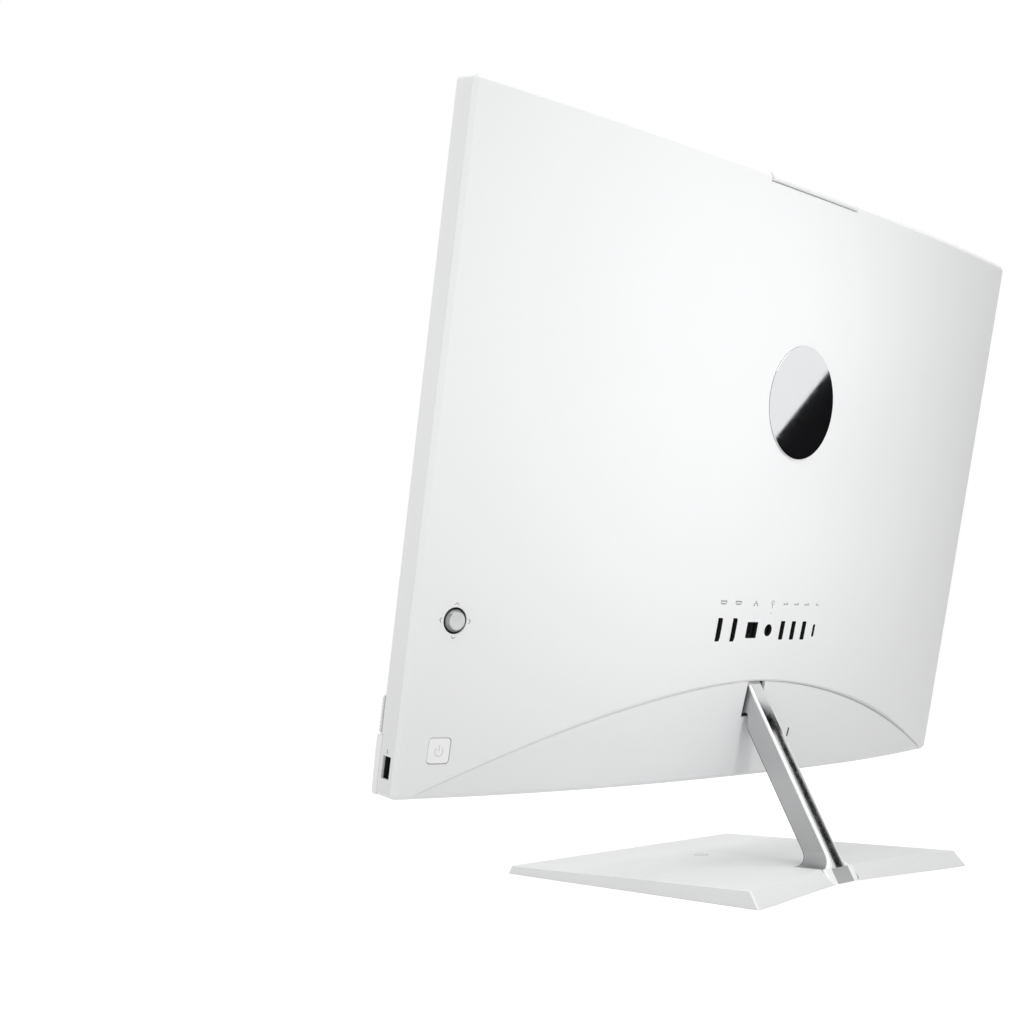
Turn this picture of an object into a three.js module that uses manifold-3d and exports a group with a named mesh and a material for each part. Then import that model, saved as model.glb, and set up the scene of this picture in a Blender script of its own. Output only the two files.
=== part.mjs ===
// All-in-one desktop computer: a 27 inch display head with the whole computer inside it, on a slanted bar neck and a
// flat wedge base. Millimetres. +Z up, +X to the right as the user sees the screen, +Y to the rear.
// The origin is at the bottom centre of the box around the object, on the surface it stands on.
import * as THREE from 'three';
import { mergeVertices } from 'three/addons/utils/BufferGeometryUtils.js';
import Module from 'manifold-3d';

const wasm = await Module();
wasm.setup();

// ---------------------------------------------------------------- driving dimensions
const GAP = 0.3;                 // assembly gap between neighbouring pieces
const HEAD_W = 611;              // head width
const HEAD_H = 401;              // head height along the panel
const TILT = 9.8;                // rest tilt of the head, top leaning back, degrees
const TILT_FWD = 14.8;           // travel from rest to the forward stop (-5 degrees of screen)
const TILT_BACK = 10.2;          // travel from rest to the rear stop (+20 degrees of screen)
const HEAD_Y = -41.25;           // bottom front edge of the screen plane
const HEAD_Z = 71.72;
const EDGE_T = 14.9;             // thickness of the head at its sides
const DOME_BOTTOM = 21.76;       // extra depth of the domed back at the bottom, at 45 % height and at the top
const DOME_MID = 32.21;
const DOME_TOP = 17.23;
const DOME_POWER = 2.416;
const SKIN = 2.4;                // wall of the rear cover
const SIDE_SKIN = 1.8;
const REAR_CHAMFER = 2.5;
const ARC_APEX = 69.5;           // seam of the lower rear cover: height at the middle
const ARC_HALF = 297;
const ARC_CUT = 292;
const LOWER_FRONT = 12;          // where the lower rear cover starts on the underside
const LOWER_RECESS = 0.8;
const PIVOT_D = 33.5;            // tilt axis, depth behind the screen plane and height above the head's bottom edge
const PIVOT_V = 57;
const NECK_ANGLE = 29.1;         // neck from the vertical
const NECK_W = 15;
const NECK_FRONT = -4.22;        // neck faces measured from the tilt axis, square to the neck
const NECK_REAR = 12.78;
const FOOT_FILLET = 10;          // fillet between the neck and the base
const FOOT_FLARE = 10;
const SHAFT_R = 2.5;
const BASE_W = 257;
const BASE_FRONT = -102.5;
const BASE_REAR = 102.5;
const BASE_T_FRONT = 6;
const BASE_T_REAR = 11.2;
const BASE_BOTTOM = 0.6;
const PORT_V = 105.4;            // height of the row of sockets
const CAM_HALF = 50.8;           // camera cap half width
const CAM_TRAVEL = 22;
const BUTTON_U = 277.5, BUTTON_V = 29;
const STICK_U = 278.2, STICK_V = 105.5;
const BADGE_R = 37.75, BADGE_V = 260;
const FAN_U = 165, FAN_V = 235, FAN_R = 31;

const rad = (a) => (a * Math.PI) / 180;

// ---------------------------------------------------------------- solid helpers
function toM(geo, matrix) {
  let g = geo.clone();
  if (matrix) g.applyMatrix4(matrix);
  for (const k of Object.keys(g.attributes)) if (k !== 'position') g.deleteAttribute(k);
  if (g.index === null) g = mergeVertices(g, 1e-4); else g = mergeVertices(g, 1e-4);
  const vertProperties = new Float32Array(g.attributes.position.array);
  let tri = Array.from(g.index.array);
  const keep = [];
  for (let i = 0; i < tri.length; i += 3) {
    const [a, b, c] = [tri[i], tri[i + 1], tri[i + 2]];
    if (a !== b && b !== c && a !== c) keep.push(a, b, c);
  }
  return new wasm.Manifold(new wasm.Mesh({ numProp: 3, vertProperties, triVerts: new Uint32Array(keep) }));
}
function fromM(man) {
  const m = man.getMesh();
  const g = new THREE.BufferGeometry();
  const n = m.numProp;
  const pos = new Float32Array((m.vertProperties.length / n) * 3);
  for (let i = 0, j = 0; i < m.vertProperties.length; i += n, j += 3) {
    pos[j] = m.vertProperties[i]; pos[j + 1] = m.vertProperties[i + 1]; pos[j + 2] = m.vertProperties[i + 2];
  }
  g.setAttribute('position', new THREE.BufferAttribute(pos, 3));
  g.setIndex(Array.from(m.triVerts));
  g.computeVertexNormals();
  return g;
}
const M4 = THREE.Matrix4;
const move = (x, y, z) => new M4().makeTranslation(x, y, z);
// box from two corners
function box(x0, x1, y0, y1, z0, z1) {
  return toM(new THREE.BoxGeometry(x1 - x0, y1 - y0, z1 - z0), move((x0 + x1) / 2, (y0 + y1) / 2, (z0 + z1) / 2));
}
function roundRect(w, h, r, cx = 0, cy = 0) {
  const s = new THREE.Shape();
  const x0 = cx - w / 2, x1 = cx + w / 2, y0 = cy - h / 2, y1 = cy + h / 2;
  s.moveTo(x0 + r, y0); s.lineTo(x1 - r, y0); s.absarc(x1 - r, y0 + r, r, -Math.PI / 2, 0, false);
  s.lineTo(x1, y1 - r); s.absarc(x1 - r, y1 - r, r, 0, Math.PI / 2, false);
  s.lineTo(x0 + r, y1); s.absarc(x0 + r, y1 - r, r, Math.PI / 2, Math.PI, false);
  s.lineTo(x0, y0 + r); s.absarc(x0 + r, y0 + r, r, Math.PI, 1.5 * Math.PI, false);
  return s;
}
function poly(points) {
  const s = new THREE.Shape();
  points.forEach(([x, y], i) => (i ? s.lineTo(x, y) : s.moveTo(x, y)));
  s.closePath();
  return s;
}
// a shape drawn in (x, z) and extruded along +Y from y0 to y1
function alongY(shape, y0, y1, segs = 4) {
  const g = new THREE.ExtrudeGeometry(shape, { depth: y1 - y0, bevelEnabled: false, curveSegments: segs, steps: 1 });
  // local x,y,z -> x, -z.., turn so that the shape's y becomes Z and the depth becomes -Y, then shift
  return toM(g, new M4().makeTranslation(0, y1, 0).multiply(new M4().makeRotationX(Math.PI / 2)));
}
// a shape drawn in (y, z) and extruded along +X from x0 to x1
function alongX(shape, x0, x1, segs = 4) {
  const g = new THREE.ExtrudeGeometry(shape, { depth: x1 - x0, bevelEnabled: false, curveSegments: segs, steps: 1 });
  const m = new M4().makeBasis(new THREE.Vector3(0, 1, 0), new THREE.Vector3(0, 0, 1), new THREE.Vector3(1, 0, 0));
  return toM(g, new M4().makeTranslation(x0, 0, 0).multiply(m));
}
function cylY(r, y0, y1, x = 0, z = 0, seg = 32, r2 = r) {
  return toM(new THREE.CylinderGeometry(r2, r, y1 - y0, seg), move(x, (y0 + y1) / 2, z));
}
function cylX(r, x0, x1, y = 0, z = 0, seg = 24) {
  const m = move((x0 + x1) / 2, y, z).multiply(new M4().makeRotationZ(-Math.PI / 2));
  return toM(new THREE.CylinderGeometry(r, r, x1 - x0, seg), m);
}
function cylZ(r, z0, z1, x = 0, y = 0, seg = 24, r2 = r) {
  const m = move(x, y, (z0 + z1) / 2).multiply(new M4().makeRotationX(Math.PI / 2));
  return toM(new THREE.CylinderGeometry(r2, r, z1 - z0, seg), m);
}
// a solid between two closed rings of points with the same count
function loft(bottom, top) {
  const n = bottom.length;
  const shape = bottom.map(([x, y]) => new THREE.Vector2(x, y));
  const tris = THREE.ShapeUtils.triangulateShape(shape, []);
  const pos = []; for (const p of bottom) pos.push(...p); for (const p of top) pos.push(...p);
  const idx = [];
  for (const [a, b, c] of tris) { idx.push(c, b, a); idx.push(a + n, b + n, c + n); }
  for (let i = 0; i < n; i++) { const j = (i + 1) % n; idx.push(i, j, j + n, i, j + n, i + n); }
  const g = new THREE.BufferGeometry();
  g.setAttribute('position', new THREE.BufferAttribute(new Float32Array(pos), 3));
  g.setIndex(idx);
  return toM(g);
}
const sub = (a, ...bs) => bs.reduce((m, b) => m.subtract(b), a);
const add = (a, ...bs) => bs.reduce((m, b) => m.add(b), a);
function piece(name, man, colour, roughness, metalness) {
  const mesh = new THREE.Mesh(fromM(man), new THREE.MeshStandardMaterial({ color: colour, roughness, metalness }));
  mesh.name = name;
  return mesh;
}
const WHITE = [0xf1f1f2, 0.42, 0.0], GREYW = [0xd9dadb, 0.5, 0.0], BLACK = [0x15161a, 0.35, 0.0];
const STEEL = [0x9a9da1, 0.38, 1.0], CHROME = [0xc9cbce, 0.16, 1.0], ALU = [0xb9bbbe, 0.3, 1.0];
const PCB = [0x1c4a32, 0.55, 0.0], RUBBER = [0x2a2b2d, 0.85, 0.0], FABRIC = [0xc9ccce, 0.95, 0.0];

// ---------------------------------------------------------------- the domed back
const HW = HEAD_W / 2;
const domeFit = (() => {          // parabola through the three depths at s = 0, 0.45, 1
  const s = 0.45, c = DOME_BOTTOM;
  const a = (DOME_MID - c - s * (DOME_TOP - c)) / (s * s - s);
  return [a, DOME_TOP - c - a, c];
})();
function backDepth(u, v) {
  const s = Math.min(Math.max(v / HEAD_H, 0), 1);
  const B = domeFit[0] * s * s + domeFit[1] * s + domeFit[2];
  return EDGE_T + B * (1 - Math.pow(Math.min(Math.abs(u) / HW, 1), DOME_POWER));
}
const halfU = [0, 45, 90, 130, 165, 196, 223, 246, 265, 280, 291, 299, 303, HW];
const US = [...halfU.slice(1).reverse().map((x) => -x), ...halfU];
const VS = [0, REAR_CHAMFER, 25, 50, 80, 115, 155, 200, 245, 290, 330, 365, HEAD_H - REAR_CHAMFER, HEAD_H];
// solid under the dome, lowered by off; us and vs are the grid lines, the edge chamfer is optional
function domeSolid(us, vs, yFlat, off, chamfer) {
  const nu = us.length, nv = vs.length, pos = [], idx = [];
  const top = (u, v) => {
    let d = backDepth(u, v) - off;
    if (chamfer) {
      const e = Math.min(HW - Math.abs(u), v, HEAD_H - v);
      if (e < REAR_CHAMFER) d -= (REAR_CHAMFER - e) * 0.8;
    }
    return d;
  };
  for (let j = 0; j < nv; j++) for (let i = 0; i < nu; i++) pos.push(us[i], top(us[i], vs[j]), vs[j]);
  for (let j = 0; j < nv; j++) for (let i = 0; i < nu; i++) pos.push(us[i], yFlat, vs[j]);
  const N = nu * nv, at = (i, j) => j * nu + i;
  const quad = (a, b, c, d) => idx.push(a, b, c, a, c, d);
  for (let j = 0; j < nv - 1; j++) for (let i = 0; i < nu - 1; i++) {
    const a = at(i, j), b = at(i + 1, j), c = at(i + 1, j + 1), d = at(i, j + 1);
    quad(a, d, c, b);                       // rear, facing +Y
    quad(a + N, b + N, c + N, d + N);       // front, facing -Y
  }
  for (let i = 0; i < nu - 1; i++) {
    quad(at(i, 0), at(i + 1, 0), at(i + 1, 0) + N, at(i, 0) + N);
    quad(at(i + 1, nv - 1), at(i, nv - 1), at(i, nv - 1) + N, at(i + 1, nv - 1) + N);
  }
  for (let j = 0; j < nv - 1; j++) {
    quad(at(0, j + 1), at(0, j), at(0, j) + N, at(0, j + 1) + N);
    quad(at(nu - 1, j), at(nu - 1, j + 1), at(nu - 1, j + 1) + N, at(nu - 1, j) + N);
  }
  const g = new THREE.BufferGeometry();
  g.setAttribute('position', new THREE.BufferAttribute(new Float32Array(pos), 3));
  g.setIndex(idx);
  return toM(g);
}
// a frame standing on the domed back: y points straight out of the surface
function surfaceFrame(u, v) {
  const e = 0.5;
  const du = new THREE.Vector3(2 * e, backDepth(u + e, v) - backDepth(u - e, v), 0).normalize();
  const dv = new THREE.Vector3(0, backDepth(u, v + e) - backDepth(u, v - e), 2 * e).normalize();
  const n = new THREE.Vector3().crossVectors(dv, du).normalize();
  const z = new THREE.Vector3().crossVectors(du, n).normalize();
  return new M4().makeBasis(du, n, z).setPosition(u, backDepth(u, v), v);
}
const arc = (u) => ARC_APEX * (1 - Math.pow(Math.abs(u) / ARC_HALF, 1.75));
function arcRegion(half, rise, y0, y1) {
  const pts = [[-half, -5], [half, -5]];
  const N = 24;
  for (let k = 0; k <= N; k++) {
    const u = half * Math.cos((Math.PI * k) / N);
    pts.push([u, arc(u) + rise]);
  }
  return alongY(poly(pts), y0, y1);
}

// ---------------------------------------------------------------- sockets in the back
const hdmiU = [56.3, 40.0], usbU = [-16.7, -30.3, -43.9], lanU = 19.4, usbcU = -57.4;
const SOCK_TOP = 41.1, SOCK_FLOOR = 28.9;    // sockets stand on the mainboard and end just inside the cover
function hdmiShape(w, h, cu) {               // tall slot with the two lower corners cut on one side
  const x0 = cu - w / 2, x1 = cu + w / 2, z0 = PORT_V - h / 2, z1 = PORT_V + h / 2;
  return poly([[x0, z0 + 2.6], [x0 + 0.9, z0], [x1, z0], [x1, z1], [x0 + 0.9, z1], [x0, z1 - 1.2]].map(([x, z]) => [x, z]));
}
function rectShape(w, h, cx, cz) { return poly([[cx - w / 2, cz - h / 2], [cx + w / 2, cz - h / 2], [cx + w / 2, cz + h / 2], [cx - w / 2, cz + h / 2]]); }

// ================================================================ head
const head = new THREE.Group();
head.position.set(0, HEAD_Y, HEAD_Z);
head.rotation.x = -rad(TILT);

const outline = alongY(roundRect(HEAD_W, HEAD_H, 3.5, 0, HEAD_H / 2), -1, 70, 3);
const innerUS = US.map((u) => Math.sign(u) * Math.min(Math.abs(u), HW - SIDE_SKIN)).filter((u, i, a) => i === 0 || u !== a[i - 1]);
const innerVS = VS.map((v) => Math.min(Math.max(v, SIDE_SKIN), HEAD_H - SIDE_SKIN));
const badgeFrame = surfaceFrame(0, BADGE_V);
const buttonFrame = surfaceFrame(BUTTON_U, BUTTON_V);
const stickFrame = surfaceFrame(STICK_U, STICK_V);
const inFrame = (man, m) => man.transform(Array.from(m.elements));

let rearCover = domeSolid(US, VS, 0, 0, true).intersect(outline);
rearCover = rearCover.subtract(domeSolid(innerUS, innerVS, -2, SKIN, false));
rearCover = sub(rearCover,
  arcRegion(ARC_CUT + 0.2, 0.2, LOWER_FRONT, 80),
  box(-320, 320, -5, 1.3, -5, 36.1),                                     // the chin cover takes over here
  box(-CAM_HALF - 0.4, CAM_HALF + 0.4, 14.9, 60, 395.6, 410),            // camera notch
  ...hdmiU.map((u) => alongY(hdmiShape(5.2, 16, u), 35, 55)),
  ...usbU.map((u) => alongY(rectShape(5.1, 13.2, u, PORT_V), 35, 55)),
  alongY(roundRect(2.9, 9.2, 1.3, usbcU, PORT_V), 35, 55, 4),
  alongY(rectShape(12.2, 11.2, lanU, PORT_V), 35, 55),
  cylY(4.3, 35, 55, 0, PORT_V, 24),
  inFrame(cylY(BADGE_R + 0.3, -0.8, 6, 0, 0, 48), badgeFrame),
  inFrame(alongY(roundRect(16, 16, 2.5, 0, 0), -8, 5, 4), buttonFrame),
  inFrame(cylY(7.8, -8, 5, 0, 0, 32), stickFrame),
  box(300, 310, 3.7, 10.2, 11, 24.4),                                    // side socket
);
for (let k = 0; k < 7; k++) for (const s of [-1, 1]) {                   // warm air slots in the top wall
  const c = s * (82 + 27 * k);
  rearCover = rearCover.subtract(box(c - 10.5, c + 10.5, 13.5, 16.3, 395, 410));
}
head.add(piece('rear_cover', rearCover, ...WHITE));

let lowerCover = domeSolid(US, VS, 0, LOWER_RECESS, true).intersect(outline)
  .subtract(domeSolid(innerUS, innerVS, -2, LOWER_RECESS + SKIN, false))
  .intersect(arcRegion(ARC_CUT - 0.2, -0.2, LOWER_FRONT + GAP, 80));
lowerCover = sub(lowerCover, box(-10.3, 10.3, 25, 60, 44, 80), box(-54.1, -52.9, 25, 60, 27.3, 33.5));
for (let k = 0; k < 6; k++) for (const s of [-1, 1]) {                   // cool air slots in the underside
  const c = s * (40 + 27 * k);
  lowerCover = lowerCover.subtract(box(c - 10.5, c + 10.5, 16, 18.8, -5, 5));
}
head.add(piece('lower_rear_cover', lowerCover, ...WHITE));

head.add(piece('front_frame', sub(box(-303.4, 303.4, 1.6, 11, 58.7, 398.9), box(-301, 301, 0, 12, 61.1, 396.5)), ...GREYW));
head.add(piece('display_glass', box(-303.4, 303.4, 0.1, 1.3, 58.8, 398.9), ...BLACK));
head.add(piece('lcd_panel', box(-300.7, 300.7, 1.6, 3.4, 61.4, 396.2), 0x0b0c10, 0.3, 0));
head.add(piece('backlight_tray', box(-300.7, 300.7, 3.7, 10.6, 61.4, 396.2), ...STEEL));
let chin = alongX(poly([[0.95, 0.4], [-2.4, 0.4], [-3.2, 1.4], [-3.9, 24], [-3.9, 33.4], [-3.3, 35.6], [0.95, 35.6]]), -HW, HW);
head.add(piece('chin_cover', chin.subtract(box(-302.5, 302.5, -1.8, 3, 2.4, 33.6)), ...WHITE));
head.add(piece('speaker_baffle', sub(box(-303.3, 303.3, -0.7, 1.3, 36.5, 58.4), box(-192, -112, -2, 3, 41, 54), box(112, 192, -2, 3, 41, 54)), ...GREYW));
head.add(piece('speaker_grille', alongX(poly([[-1, 36.5], [-2.6, 36.5], [-2.95, 37], [-2.95, 56.4], [-2.1, 58], [-1, 58.4]]), -303.3, 303.3), ...FABRIC));
for (const [n, s] of [['left', -1], ['right', 1]]) {
  const a = Math.min(s * 108, s * 196), b = Math.max(s * 108, s * 196);
  const cone = cylY(6, 1.6, 3.4, s * 152, 47.5, 24);
  head.add(piece(`speaker_${n}`, add(box(a, b, 3.2, 11.4, 38.4, 56.6), cone), ...BLACK));
}

// chassis plate with the standoffs that carry the boards
const posts = [[-84, 94], [104, 94], [-84, 284], [104, 284]];
let chassis = sub(box(-240, 240, 13, 14.2, 20, 345), box(-40, 40, 10, 20, 300, 333));
chassis = add(chassis, ...posts.map(([u, v]) => cylY(3, 14, 26.7, u, v, 12)));
head.add(piece('chassis_plate', chassis, ...STEEL));
let board = sub(box(-90, 110, 27, 28.6, 88, 290), ...posts.map(([u, v]) => cylY(1.7, 26, 30, u, v, 12)));
head.add(piece('mainboard', board, ...PCB));
posts.forEach(([u, v], i) => head.add(piece(`board_screw_${i + 1}`, cylY(3.2, 28.9, 30.5, u, v, 12), ...STEEL)));

// processor cooler: cold plate, heat pipe, finned exchanger, blower
head.add(piece('cpu_cold_plate', box(2, 46, 28.9, 31.6, 196, 240), 0xb87345, 0.35, 1));
const pipePath = new THREE.CatmullRomCurve3([[6, 34.6, 230], [40, 34.6, 230], [80, 34.6, 236], [100, 34, 258], [113.5, 32.8, 277], [122, 27.5, 287], [133, 23, 290.4], [150, 22.3, 290.5], [190, 22.3, 290.5]].map((p) => new THREE.Vector3(...p)));
const pipeShape = new THREE.Shape(); pipeShape.absarc(0, 0, 2.6, 0, Math.PI * 2, false);
head.add(piece('heat_pipe', toM(new THREE.ExtrudeGeometry(pipeShape, { steps: 22, curveSegments: 4, extrudePath: pipePath })), 0xb87345, 0.3, 1));
let fins = box(FAN_U - 27, FAN_U + 27, 15, 18.6, 278, 302);
for (let k = 0; k < 12; k++) fins = fins.add(box(FAN_U - 26.5 + k * 4.7, FAN_U - 25.7 + k * 4.7, 18, 27.5, 278, 302));
fins = fins.subtract(box(FAN_U - 40, FAN_U + 40, 18.8, 30, 286.6, 294.4));
head.add(piece('heat_exchanger', fins, ...ALU));
let fanHousing = sub(box(FAN_U - 36, FAN_U + 36, 14.6, 28.6, FAN_V - 36, FAN_V + 36),
  cylY(FAN_R + 1, 15.8, 27.4, FAN_U, FAN_V, 40), cylY(22, 20, 40, FAN_U, FAN_V, 32),
  box(FAN_U - 27, FAN_U + 27, 16.6, 26.6, FAN_V + 5, FAN_V + 45));
head.add(piece('fan_housing', fanHousing, ...BLACK));
let rotor = cylY(11, 16.4, 26.6, FAN_U, FAN_V, 24);
for (let k = 0; k < 13; k++) {
  const blade = toM(new THREE.BoxGeometry(19, 8, 1), new M4().makeTranslation(FAN_U, 21.4, FAN_V)
    .multiply(new M4().makeRotationY((k * 2 * Math.PI) / 13)).multiply(move(19, 0, 3)));
  rotor = rotor.add(blade);
}
head.add(piece('fan_rotor', rotor, 0x202226, 0.5, 0));

// memory, storage, radio
head.add(piece('memory_module_1', add(box(-86, -18.4, 28.9, 30.1, 132, 162), box(-80, -25, 30, 31.6, 138, 158)), 0x1d5a3a, 0.5, 0));
head.add(piece('memory_module_2', add(box(-86, -18.4, 28.9, 30.1, 170, 200), box(-80, -25, 30, 31.6, 176, 196)), 0x1d5a3a, 0.5, 0));
head.add(piece('solid_state_drive', add(box(-86, -6, 28.9, 30.1, 240, 262), box(-80, -30, 30, 31.4, 243, 259)), 0x17335c, 0.5, 0));
head.add(piece('wireless_card', add(box(70, 100, 28.9, 29.9, 130, 152), box(74, 92, 29.8, 31.2, 133, 149)), 0x17335c, 0.5, 0));

// sockets standing on the mainboard
hdmiU.forEach((u, i) => {
  const b = sub(box(u - 3.7, u + 3.7, SOCK_FLOOR, SOCK_TOP, PORT_V - 9, PORT_V + 9), alongY(hdmiShape(4.6, 15, u), 31.5, 50));
  head.add(piece(`video_socket_${i + 1}`, b.add(box(u - 0.6, u + 0.6, 30, 40.6, PORT_V - 6, PORT_V + 6)), ...STEEL));
});
usbU.forEach((u, i) => {
  const b = sub(box(u - 3.4, u + 3.4, SOCK_FLOOR, SOCK_TOP, PORT_V - 7.4, PORT_V + 7.4), alongY(rectShape(4.7, 12.6, u, PORT_V), 31.5, 50));
  head.add(piece(`usb_socket_${i + 1}`, b.add(box(u - 0.2, u + 1.6, 30, 40.4, PORT_V - 5.6, PORT_V + 5.6)), ...STEEL));
});
head.add(piece('usb_c_socket', sub(box(usbcU - 2.4, usbcU + 2.4, SOCK_FLOOR, SOCK_TOP, PORT_V - 5.6, PORT_V + 5.6),
  alongY(roundRect(2.6, 8.6, 1.2, usbcU, PORT_V), 31.5, 50, 3)).add(box(usbcU - 0.4, usbcU + 0.4, 30, 40.6, PORT_V - 3.2, PORT_V + 3.2)), ...STEEL));
head.add(piece('network_socket', sub(box(lanU - 7.6, lanU + 7.6, SOCK_FLOOR, SOCK_TOP, PORT_V - 7.2, PORT_V + 7.2),
  box(lanU - 5.9, lanU + 5.9, 30.5, 50, PORT_V - 3.4, PORT_V + 5.4), box(lanU - 3, lanU + 3, 30.5, 50, PORT_V - 5.4, PORT_V)), ...BLACK));
head.add(piece('power_inlet', sub(cylY(5.6, SOCK_FLOOR, SOCK_TOP, 0, PORT_V, 24), cylY(3.9, 31, 50, 0, PORT_V, 24)).add(cylY(0.8, 30.6, 40, 0, PORT_V, 10)), ...BLACK));
head.add(piece('side_usb_socket', sub(box(290, 303.4, 2.9, 11, 10.2, 25.2), box(292.5, 310, 3.9, 10, 11.2, 24.2))
  .add(box(292, 302, 7.4, 9.2, 12.4, 23)), ...STEEL));

// tilt hinge: bracket on the chassis, two friction clutches; the shaft belongs to the neck
let bracket = add(box(-52, 52, 14.5, 16.5, 40, 84), box(36.4, 39.4, 16, 37.2, 47, 68), box(-39.4, -36.4, 16, 37.2, 47, 68));
bracket = sub(bracket, cylX(2.9, -60, 60, PIVOT_D, PIVOT_V));
head.add(piece('hinge_bracket', bracket, ...STEEL));
for (const [n, s] of [['left', -1], ['right', 1]]) {
  const a = Math.min(s * 14, s * 36), b = Math.max(s * 14, s * 36);
  head.add(piece(`hinge_clutch_${n}`, sub(box(a, b, 28.7, 37.3, 49.5, 64.5), cylX(2.9, -60, 60, PIVOT_D, PIVOT_V)), ...STEEL));
}

// round badge let into the back, plain
head.add(piece('rear_badge', inFrame(cylY(BADGE_R, -0.5, 0.35, 0, 0, 64), badgeFrame), ...CHROME));

// power button and its board
const flangeOk = alongY(roundRect(18.6, 18.6, 2.5, 0, 0), -3.5, -2.8, 3);
head.add(piece('power_button', inFrame(add(alongY(roundRect(15.3, 15.3, 2.3, 0, 0), -3.0, 0, 4), flangeOk), buttonFrame), ...WHITE));
head.add(piece('button_board', inFrame(add(box(-10, 10, -6.4, -5.4, -11, 11), box(-3, 3, -5.5, -4.6, -3, 3)), buttonFrame), ...PCB));

// five-way stick: housing on its board, sliding carriage, ring, knob
head.add(piece('stick_board', inFrame(box(-7.5, 7.5, -8.6, -7.8, -11, 11), stickFrame), ...PCB));
head.add(piece('stick_housing', inFrame(sub(box(-6.4, 6.4, -7.5, -4.4, -6.4, 6.4), box(-4.8, 4.8, -7.15, 0, -4.8, 4.8)), stickFrame), ...BLACK));
head.add(piece('stick_carriage', inFrame(add(box(-4.5, 4.5, -6.6, -4.9, -4.5, 4.5), box(3.6, 4.5, -5.2, -2.4, -1.2, 1.2), box(-4.5, -3.6, -5.2, -2.4, -1.2, 1.2)), stickFrame), ...BLACK));
head.add(piece('stick_ring', inFrame(sub(cylY(3.2, -3.6, -2.4, 0, 0, 24), cylY(2.1, -5, 0, 0, 0, 20)), stickFrame), ...STEEL));
const knobProfile = [[0, -3.8], [1.2, -3.8], [1.2, -1.3], [6.4, -1.3], [6.6, -0.8], [6.4, 0.1], [5.75, 1.2], [5.3, 2.1], [5.05, 2.5], [0, 2.6]].map(([r, y]) => new THREE.Vector2(r, y));
head.add(piece('stick_knob', inFrame(toM(new THREE.LatheGeometry(knobProfile, 28)), stickFrame), ...CHROME));

// pop-up camera: cap flush with the top rear edge, body in a guide
const capZone = box(-CAM_HALF, CAM_HALF, 15.3, 60, 396.1, 410);
const camTopUS = US, camTopVS = VS;
let capOuter = domeSolid(camTopUS, camTopVS, 0, -0.35, true).intersect(capZone);
const camBody = sub(box(-45, 45, 15.4, 26, 362, 397), cylY(4.2, 15, 19, 0, 386, 24), cylY(1.6, 15, 16.5, 14, 386, 12), cylY(1.6, 15, 16.5, -14, 386, 12));
head.add(piece('camera_module', capOuter.add(camBody), ...WHITE));
head.add(piece('camera_lens', cylY(3.8, 15.6, 18.6, 0, 386, 24), ...BLACK));
head.add(piece('camera_guide', sub(box(-48.5, 48.5, 14.6, 28.4, 357, 394.8), box(-45.4, 45.4, 14, 26.4, 361, 400)), ...GREYW));

// ================================================================ stand
const stand = new THREE.Group();
const pivotY = HEAD_Y + PIVOT_V * Math.sin(rad(TILT)) + PIVOT_D * Math.cos(rad(TILT));
const pivotZ = HEAD_Z + PIVOT_V * Math.cos(rad(TILT)) - PIVOT_D * Math.sin(rad(TILT));
const neckFrame = move(0, pivotY, pivotZ).multiply(new M4().makeRotationX(rad(NECK_ANGLE)));
const baseTopZ = (y) => BASE_T_FRONT + ((BASE_T_REAR - BASE_T_FRONT) * (y - BASE_FRONT)) / (BASE_REAR - BASE_FRONT);
// closed skin through rings of points with the same count
function skin(rings) {
  const n = rings[0].length, pos = [], idx = [];
  for (const r of rings) for (const p of r) pos.push(...p);
  for (let k = 0; k < rings.length - 1; k++) for (let i = 0; i < n; i++) {
    const j = (i + 1) % n, a = k * n, b = a + n;
    idx.push(a + i, a + j, b + j, a + i, b + j, b + i);
  }
  const last = (rings.length - 1) * n;
  for (let i = 1; i < n - 1; i++) { idx.push(0, i + 1, i); idx.push(last, last + i, last + i + 1); }
  const g = new THREE.BufferGeometry();
  g.setAttribute('position', new THREE.BufferAttribute(new Float32Array(pos), 3));
  g.setIndex(idx);
  return toM(g);
}
// The neck is a bar with bevelled edges. Its foot swells in a fillet where it meets the sloping top of the base, and
// runs on inside the base down to its underside. Sections lie parallel to the base's top; e grows it for clearance.
const slopeBase = (BASE_T_REAR - BASE_T_FRONT) / (BASE_REAR - BASE_FRONT);
const tanN = Math.tan(rad(NECK_ANGLE)), cosN = Math.cos(rad(NECK_ANGLE));
const rearLineY = (z) => pivotY + NECK_REAR / cosN + (pivotZ - z) * tanN;      // rear face of the bar at height z
const frontLineY = (z) => pivotY + NECK_FRONT / cosN + (pivotZ - z) * tanN;
function neckSection(h, e, bevel) {          // h is the height above the base's top plane, measured at the rear face
  const f = h >= FOOT_FILLET ? 0 : (h <= 0 ? 1 : 1 - Math.sqrt(Math.max(0, 1 - Math.pow(1 - h / FOOT_FILLET, 2))));
  const w = NECK_W / 2 + FOOT_FLARE * f + e, fwd = 5.5 * f;
  const meet = (line) => {                   // where the face line crosses the section plane
    let y = 60;
    for (let k = 0; k < 40; k++) y = line(baseTopZ(y) + h);
    return y;
  };
  const R = meet(rearLineY) + e, F = meet(frontLineY) - fwd - e;
  const z = (y) => baseTopZ(y) + h;
  return [[w, F + bevel], [w, R - bevel], [w - bevel, R], [-w + bevel, R], [-w, R - bevel], [-w, F + bevel], [-w + bevel, F], [w - bevel, F]].map(([x, y]) => [x, y, z(y)]);
}
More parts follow.
